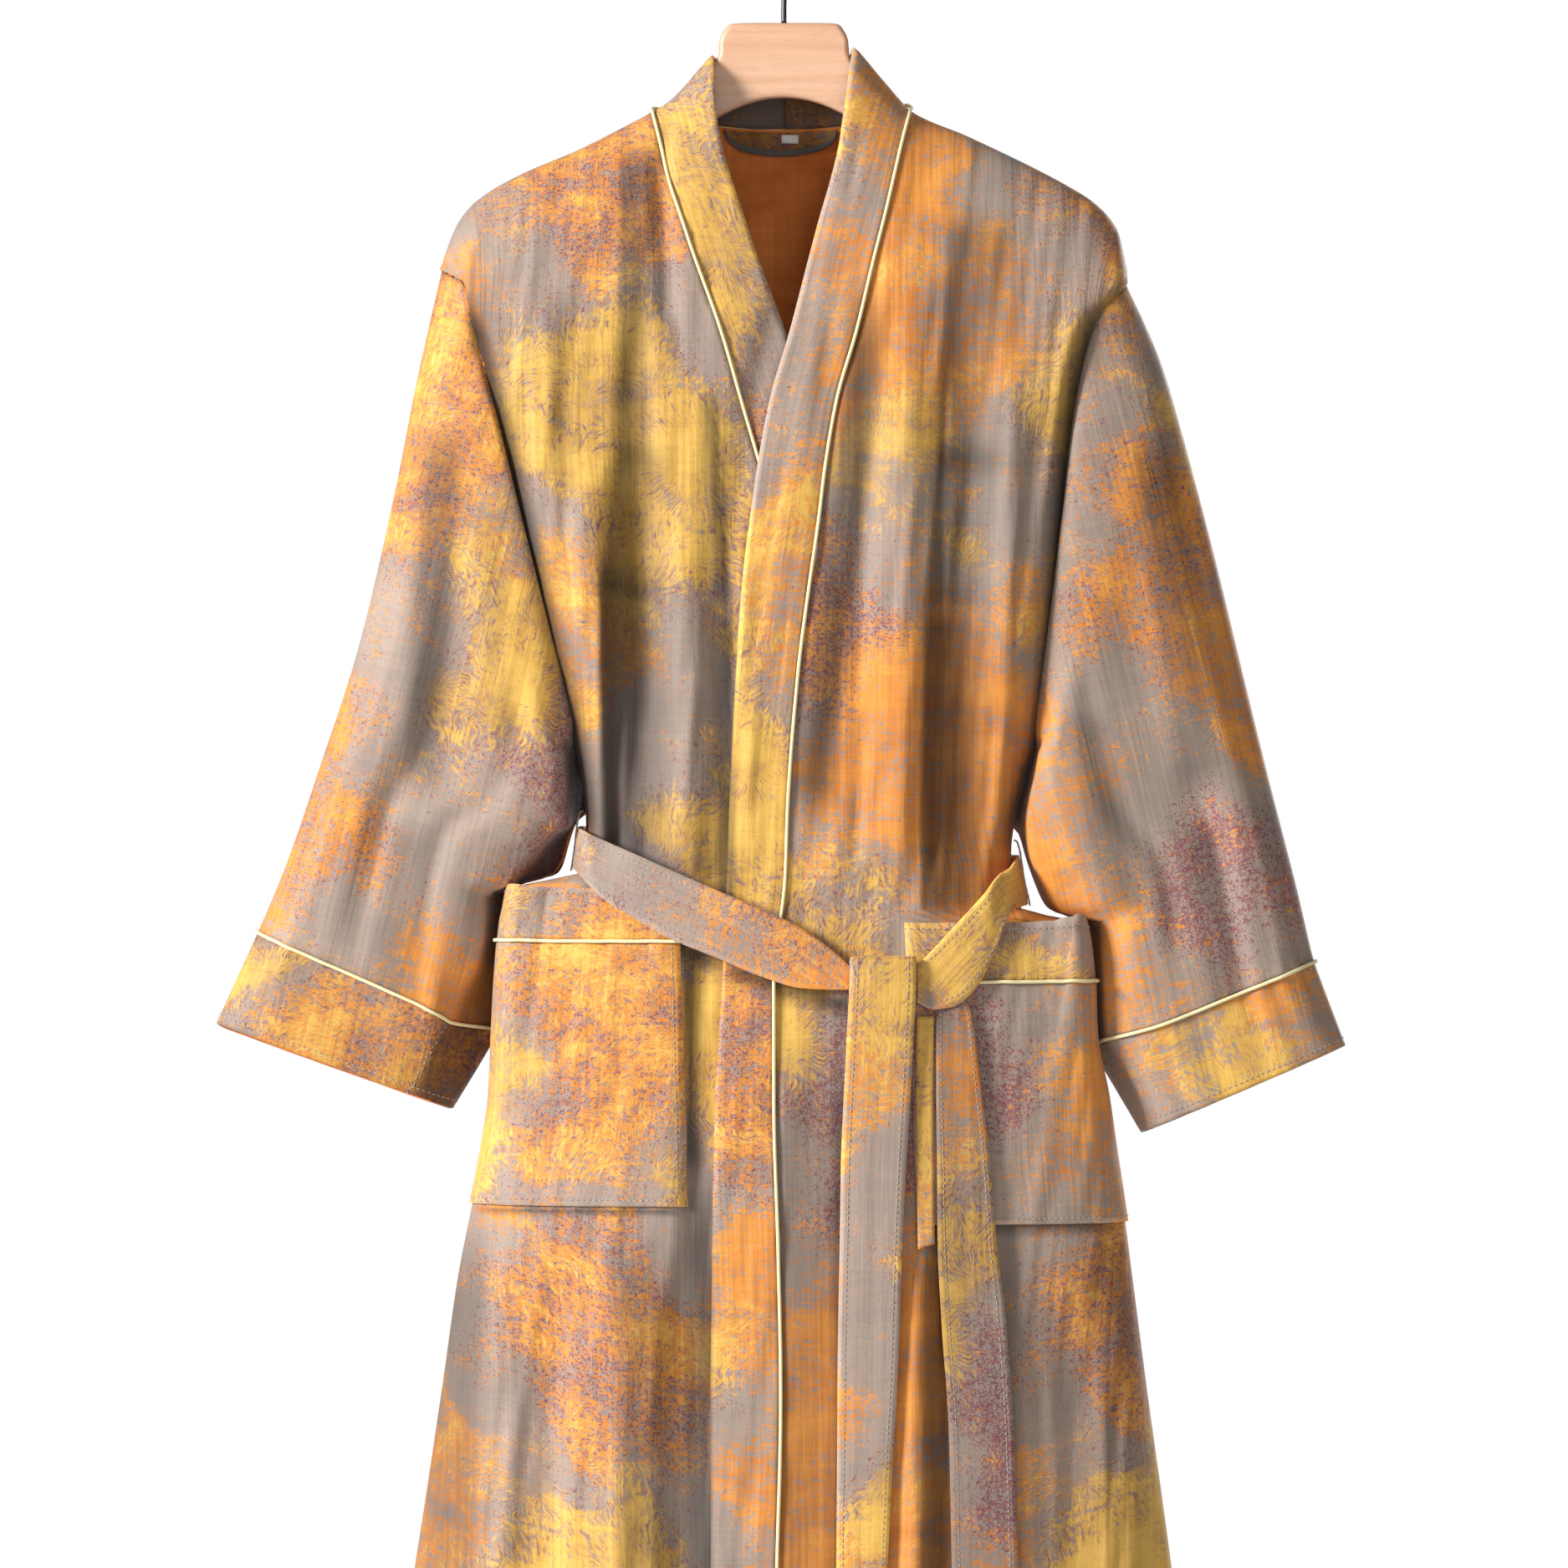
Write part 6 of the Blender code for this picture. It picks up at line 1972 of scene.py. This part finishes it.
def knot_rings():
    """Rings round the bar of the knot, from one end to the other."""
    rings = []
    turn = np.radians(np.arange(0, 360, 12))
    for x, top, end, near, far in rows_of(KNOT):
        lie = resting("front", x, np.linspace(750, 771, 4), 0)
        y = -lie - (near + far) / 2 - (far - near) / 2 * power(np.sin(turn), 0.8)
        z = -(top + end) / 2 + (end - top) / 2 * power(np.cos(turn), 0.8)
        rings.append(np.stack([np.full(len(turn), x), y, z], axis=-1))
    return resample(np.array(rings), 14, 29)


class ROBE_OT_belt(bpy.types.Operator):
    """Makes the belt: its way round the robe, the knot, both ends and the inner tie"""

    bl_idname = "robe.belt"
    bl_label = "Belt and tie"

    def execute(self, context):
        sizes = context.scene.robe_cloth
        wall, puff = sizes.belt_wall / MM, sizes.puff / MM
        grid = resample(belt_wrap_grid(), 260, BELT_STEPS)
        grid = belt_creased(puffed(grid, outward(grid), puff))
        STITCHED["belt"] += lines_across(grid, BELT_STITCH, 0.25)
        wrap = cloth("belt_wrap", grid, wall, (0.42, 0.0), shade=lit(grid, [], [0, -1]))
        knot = capped("belt_knot_cloth", knot_rings(), "belt_knot")
        inside, outside = hanging_strip(TAIL_INSIDE), hanging_strip(TAIL_MAIN)
        inside[:, :, 1] += BELT_WALL
        for node, strip, start, rows, middle, hidden in (
            ("belt_tail_main", np.concatenate([inside, outside]), (0.31, 0.30), 150, 0.36, 40),
            ("belt_tail_second", hanging_strip(TAIL_SECOND), (0.06, 0.46), 120, 0.62, 0),
        ):
            grid = resample(strip, rows, BELT_STEPS)
            grid = tail_creased(puffed(grid, outward(grid), puff), middle)
            STITCHED["belt"] += lines_across(grid[hidden:], BELT_STITCH)
            shade = lit(grid, [-1], [0, -1])
            if node == "belt_tail_second":
                # the first end's shadow lies on its inner edge
                x = grid[..., 0]
                low, high = x.min(axis=1, keepdims=True), x.max(axis=1, keepdims=True)
                shade *= 0.5 + 0.35 * (x - low) / (high - low)
            cloth(node, grid, wall, start, shade=shade)
        tie = hanging_strip(INNER_TIE)
        tie[-1, :, 2] += np.linspace(-1, 1, 3) * TIE_SLANT / 2
        grid = resample(tie, 50, 6)
        grid = puffed(grid, outward(grid), puff * 0.5)
        cloth("inner_tie", grid, sizes.cloth_wall / MM, (0.33, 0.28))
        return {"FINISHED"}


class ROBE_OT_neck(bpy.types.Operator):
    """Makes the facing inside the back neck, its bound edge and the bare label"""

    bl_idname = "robe.neck"
    bl_label = "Neck facing"

    def execute(self, context):
        x = np.linspace(*FACING_X, 41)
        middle, half = sum(FACING_X) / 2, (FACING_X[1] - FACING_X[0]) / 2
        bow = np.sqrt(np.clip(1 - ((x - middle) / half) ** 2, 0, 1))
        top = neck_seam_down(x) + 1.5
        low = top + 2.0 + (FACING_LOW - 2.0 - top) * bow
        inside = -(CLOTH + FACING_CLEAR)
        over = inside - FACING_WALL - SEAM
        label_down = LABEL_DOWN + np.linspace(0, LABEL_SIZE[1], 4)[:, None]
        label_x = LABEL_X + np.linspace(0, LABEL_SIZE[0], 7)
        grids = [at_place("back", *np.broadcast_arrays(across, down), out)[:, ::-1] for across, down, out in (
            (x, top + (low - top) * np.linspace(0, 1, 9)[:, None], inside),
            (x, low + np.linspace(-BINDING_WIDE, 0.6, 4)[:, None], over),
            (label_x, label_down, over),
        )]
        facing = cloth("neck_facing", grids[0], FACING_WALL, (0.50, 0.55), finishes=(RIGHT_SIDE, RIGHT_SIDE),
                       shade=np.full(grids[0].shape[:2], FACING_SHADE))
        tape = cloth("facing_binding", grids[1], FACING_WALL,
                     finishes=(BINDING_TAPE,) * 2)
        label = cloth("neck_label", grids[2], LABEL_WALL, finishes=(LABEL_SATIN,) * 2)
        return {"FINISHED"}


class ROBE_OT_loops(bpy.types.Operator):
    """Makes the thread loops that carry the belt"""

    bl_idname = "robe.loops"
    bl_label = "Belt loops"

    def execute(self, context):
        for side, route in LOOPS.items():
            points = []
            for down, out in rows_of(route):
                x, y, _ = body("front", SIDE_X[side] * 90.0, min(down, LOOP_LEVEL[side]), out)
                points.append((x, y, -down))
            fine = through(points, 40)
            twist = 1 + 0.12 * np.sin(np.arange(len(fine)) * 1.9)
            node = "belt_loop_" + side
            tube(node + "_thread", fine, THREAD / 2, SEWING_THREAD, node, swell=twist)
        return {"FINISHED"}


def stitch_tree():
    """Stitches of a set length, laid end to end along the edges of a mesh."""
    tree = bpy.data.node_groups.new("Topstitch along edges", "GeometryNodeTree")
    for name, way, kind in (
        ("Geometry", "INPUT", "Geometry"), ("Length", "INPUT", "Float"), ("Pitch", "INPUT", "Float"),
        ("Thickness", "INPUT", "Float"), ("Thread", "INPUT", "Material"), ("Geometry", "OUTPUT", "Geometry"),
    ):
        tree.interface.new_socket(name, in_out=way, socket_type="NodeSocket" + kind)
    given = add(tree, "NodeGroupInput").outputs
    line = add(tree, "GeometryNodeMeshToCurve", {0: given["Geometry"]}).outputs[0]
    points = add(tree, "GeometryNodeCurveToPoints", {
        "Curve": line, "Length": given["Pitch"]}, mode="LENGTH").outputs
    ahead = add(tree, "FunctionNodeAlignRotationToVector", {"Vector": points["Tangent"]}, axis="X").outputs[0]
    bead = add(tree, "GeometryNodeMeshUVSphere", {"Segments": 6, "Rings": 4, "Radius": 0.5}).outputs[0]
    size = add(tree, "ShaderNodeCombineXYZ", {
        0: given["Length"], 1: given["Thickness"], 2: given["Thickness"]}).outputs[0]
    laid = add(tree, "GeometryNodeInstanceOnPoints", {
        "Points": points["Points"], "Instance": bead, "Rotation": ahead, "Scale": size}).outputs[0]
    real = add(tree, "GeometryNodeRealizeInstances", {0: laid}).outputs[0]
    smooth = add(tree, "GeometryNodeSetShadeSmooth", {0: real}).outputs[0]
    done = add(tree, "GeometryNodeSetMaterial", {"Geometry": smooth, "Material": given["Thread"]}).outputs[0]
    add(tree, "NodeGroupOutput", {0: done})
    return tree


def settled(context, obj):
    """The mesh that an object's modifiers or curve give; the object itself goes."""
    context.scene.collection.objects.link(obj)
    context.view_layer.update()
    mesh = bpy.data.meshes.new_from_object(obj.evaluated_get(context.evaluated_depsgraph_get()))
    bpy.data.objects.remove(obj)
    return mesh


class ROBE_OT_stitches(bpy.types.Operator):
    """Lays the topstitching along the belt, pockets, cuffs and hem"""

    bl_idname = "robe.stitches"
    bl_label = "Topstitching"

    def execute(self, context):
        sizes = context.scene.robe_stitches
        tree = stitch_tree()
        sockets = {s.name: s.identifier for s in tree.interface.items_tree if s.in_out == "INPUT"}
        for group, routes in STITCHED.items():
            ends = np.cumsum([len(route) for route in routes])
            edges = [(i, i + 1) for i in range(ends[-1] - 1) if i + 1 not in ends]
            mesh = bpy.data.meshes.new("stitch_line_" + group)
            mesh.from_pydata((np.concatenate(routes) * MM).tolist(), edges, [])
            line = bpy.data.objects.new("stitch_line_" + group, mesh)
            laid = line.modifiers.new("Topstitch", "NODES")
            laid.node_group = tree
            laid[sockets["Length"]] = sizes.length
            laid[sockets["Pitch"]] = sizes.pitch
            laid[sockets["Thickness"]] = sizes.thickness
            laid[sockets["Thread"]] = bpy.data.materials[SEWING_THREAD]
            done = settled(context, line)
            if not done.polygons:
                raise RuntimeError("no stitches were laid along " + group)
            piece = bpy.data.objects.new("stitches_" + group, done)
            context.scene.collection.objects.link(piece)
            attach(piece, "root")
        return {"FINISHED"}


def wood_outline():
    """Half of the hanger seen from the front, from the middle of its top round to the arch."""
    reach = np.linspace(54.0, 219.0, 12)
    lie = np.maximum(ridge_down(reach), ridge_down(-reach))
    slope = np.gradient(lie, reach)
    wall = np.where(reach < 96, COLLAR_WALL, CLOTH) + WOOD_CLEAR
    top = [(0.0, NECK_TOP), (37.0, NECK_TOP), (41.5, 77.5), (47.0, 87.0), (46.4, 99.0)]
    top += list(zip(reach, lie + wall * np.sqrt(1 + slope**2)))
    tip = [(223.5, 219.0), (224.5, 228.0), (219.0, 236.0)]
    under = [(196.0, 224.0), (150.0, 200.0), (100.0, 175.0), (72.0, 160.0), (ARCH_HALF, ARCH_LOW)]
    arch = [(ARCH_HALF * turn, ARCH_TOP + (ARCH_LOW - ARCH_TOP) * turn**2)
            for turn in np.linspace(0.92, 0.0, 5)]
    return top + tip + under + arch


def softened(outline, rounds=3):
    """A closed outline with its corners cut again and again until it is smooth."""
    points = np.array(outline)
    for _ in range(rounds):
        ahead = np.roll(points, -1, axis=0)
        points = np.stack([points * 0.78 + ahead * 0.22, points * 0.22 + ahead * 0.78], axis=1).reshape(-1, 2)
    return points


def wood_shape():
    """The hanger's outline as a filled curve with rounded edges, lying flat."""
    half = wood_outline()
    outline = softened(half + [(-x, down) for x, down in half[-2:0:-1]])
    curve = bpy.data.curves.new("hanger_outline", "CURVE")
    curve.dimensions = "2D"
    curve.fill_mode = "BOTH"
    curve.extrude = (WOOD_THICK / 2 - WOOD_EDGE) * MM
    curve.bevel_depth = WOOD_EDGE * MM
    curve.bevel_resolution = 5
    curve.offset = -WOOD_EDGE * MM
    spline = curve.splines.new("POLY")
    spline.points.add(len(outline) - 1)
    for target, (x, down) in zip(spline.points, outline):
        target.co = (x * MM, -down * MM, 0, 1)
    spline.use_cyclic_u = True
    return bpy.data.objects.new("hanger_outline", curve)


class ROBE_OT_hanger(bpy.types.Operator):
    """Makes the wooden hanger and its steel hook"""

    bl_idname = "robe.hanger"
    bl_label = "Hanger"

    def execute(self, context):
        mesh = settled(context, wood_shape())
        flat = np.empty(len(mesh.vertices) * 3)
        mesh.vertices.foreach_get("co", flat)
        across, up, deep = flat.reshape(-1, 3).T
        mesh.vertices.foreach_set("co", np.stack([across, -deep, up], axis=-1).ravel())
        mesh.update()
        mesh.shade_smooth()
        mesh.set_sharp_from_angle(angle=math.radians(35))
        place("hanger_wood", mesh, [BEECH], "hanger_body")
        centre = -(HOOK_BEND - HOOK_ROD / 2)
        route = [(0.0, -NECK_TOP + SEAM), (0.0, -66.0), (0.2, -57.0), (2.2, -49.0), (6.0, -42.0)]
        for turn in np.radians(np.arange(-56, 206, 14.0)):
            route.append((HOOK_BEND * math.cos(turn), centre + HOOK_BEND * math.sin(turn)))
        fine = through([(x, 0.0, z) for x, z in route], 150)
        # the rod's tip is rounded over its last radius
        left = np.arange(len(fine))[::-1] * HOOK_STEP
        tip = np.sqrt(np.clip(1 - np.clip(1 - left / (HOOK_ROD / 2), 0, 0.98) ** 2, 0, 1))
        tube("hanger_hook_rod", fine, HOOK_ROD / 2, BLACK_STEEL, "hanger_hook", around=24, swell=tip)
        return {"FINISHED"}


class ROBE_OT_stage(bpy.types.Operator):
    """Makes the floor, the lights and the camera"""

    bl_idname = "robe.stage"
    bl_label = "Stage"

    def execute(self, context):
        stage = context.scene.robe_stage
        turn = np.linspace(0, 2 * math.pi, 65)[:-1]
        x, y = FLOOR_REACH * np.cos(turn), FLOOR_REACH * np.sin(turn)
        ring = np.stack([x, y, np.full_like(x, FLOOR_Z)], axis=-1)
        mesh = bpy.data.meshes.new("studio_floor")
        mesh.from_pydata(ring.tolist(), [], [tuple(range(len(ring)))])
        mesh.materials.append(bpy.data.materials[FLOOR_MATT])
        floor = bpy.data.objects.new("studio_floor", mesh)
        context.scene.collection.objects.link(floor)
        for name, at, size, power_w in (
            ("Key light", (-4.5, -2.6, 0.9), 1.5, stage.key),
            ("Fill light", (0.7, -3.6, 0.1), 2.0, stage.fill),
            ("Top light", (0.0, -0.6, 1.9), 1.6, stage.fill * 0.3),
            ("Back light", (2.4, 4.0, 0.5), 2.0, stage.back),
        ):
            light = bpy.data.lights.new(name, "AREA")
            light.size = size
            light.energy = power_w
            lamp = bpy.data.objects.new(name, light)
            context.scene.collection.objects.link(lamp)
            lamp.location = at
            aim = unit(np.array(LIGHTS_AIM) - np.array(at))
            lamp.rotation_euler = (math.acos(-aim[2]), 0.0, math.atan2(aim[1], aim[0]) - math.pi / 2)
        world = bpy.data.worlds.new("Studio")
        world.use_nodes = True
        tree = world.node_tree
        ray = add(tree, "ShaderNodeLightPath").outputs["Is Camera Ray"]
        seen = add(tree, "ShaderNodeMapRange", {0: ray, 1: 0.0, 2: 1.0, 3: stage.room, 4: 1.0}).outputs[0]
        sky = tree.nodes["Background"]
        sky.inputs[0].default_value = (1.0, 1.0, 1.0, 1.0)
        tree.links.new(seen, sky.inputs[1])
        context.scene.world = world
        context.scene.view_settings.view_transform = "Standard"
        camera = bpy.data.cameras.new("Camera")
        camera.sensor_width = SENSOR
        camera.lens = SENSOR * stage.distance / stage.width
        camera.clip_end = 30.0
        eye = bpy.data.objects.new("Camera", camera)
        context.scene.collection.objects.link(eye)
        eye.location = (0.0, -stage.distance, stage.height)
        eye.rotation_euler = (math.pi / 2, 0.0, 0.0)
        context.scene.camera = eye
        return {"FINISHED"}


STEPS = (
    ROBE_OT_finishes, ROBE_OT_panels, ROBE_OT_sleeves, ROBE_OT_collar, ROBE_OT_pockets, ROBE_OT_belt,
    ROBE_OT_neck, ROBE_OT_loops, ROBE_OT_stitches, ROBE_OT_hanger, ROBE_OT_stage,
)
GROUPS = {
    "robe_cloth": RobeCloth,
    "robe_stitches": RobeStitches,
    "robe_colours": RobeColours,
    "robe_stage": RobeStage,
}


class ROBE_PT_panel(bpy.types.Panel):
    """Lists the steps and the sizes and colours they use"""

    bl_label = "Kimono bathrobe"
    bl_idname = "ROBE_PT_panel"
    bl_space_type = "VIEW_3D"
    bl_region_type = "UI"
    bl_category = "Robe"

    def draw(self, context):
        for step in STEPS:
            self.layout.operator(step.bl_idname)
        for name, group in GROUPS.items():
            box = self.layout.box()
            for key in group.__annotations__:
                box.prop(getattr(context.scene, name), key)


def register():
    for kind in (*GROUPS.values(), *STEPS, ROBE_PT_panel):
        bpy.utils.register_class(kind)
    for name, group in GROUPS.items():
        setattr(bpy.types.Scene, name, bpy.props.PointerProperty(type=group))


def unregister():
    for name in GROUPS:
        delattr(bpy.types.Scene, name)
    for kind in reversed((*GROUPS.values(), *STEPS, ROBE_PT_panel)):
        bpy.utils.unregister_class(kind)


def main():
    register()
    for step in STEPS:
        family, name = step.bl_idname.split(".")
        getattr(getattr(bpy.ops, family), name)()


if __name__ == "__main__":
    main()
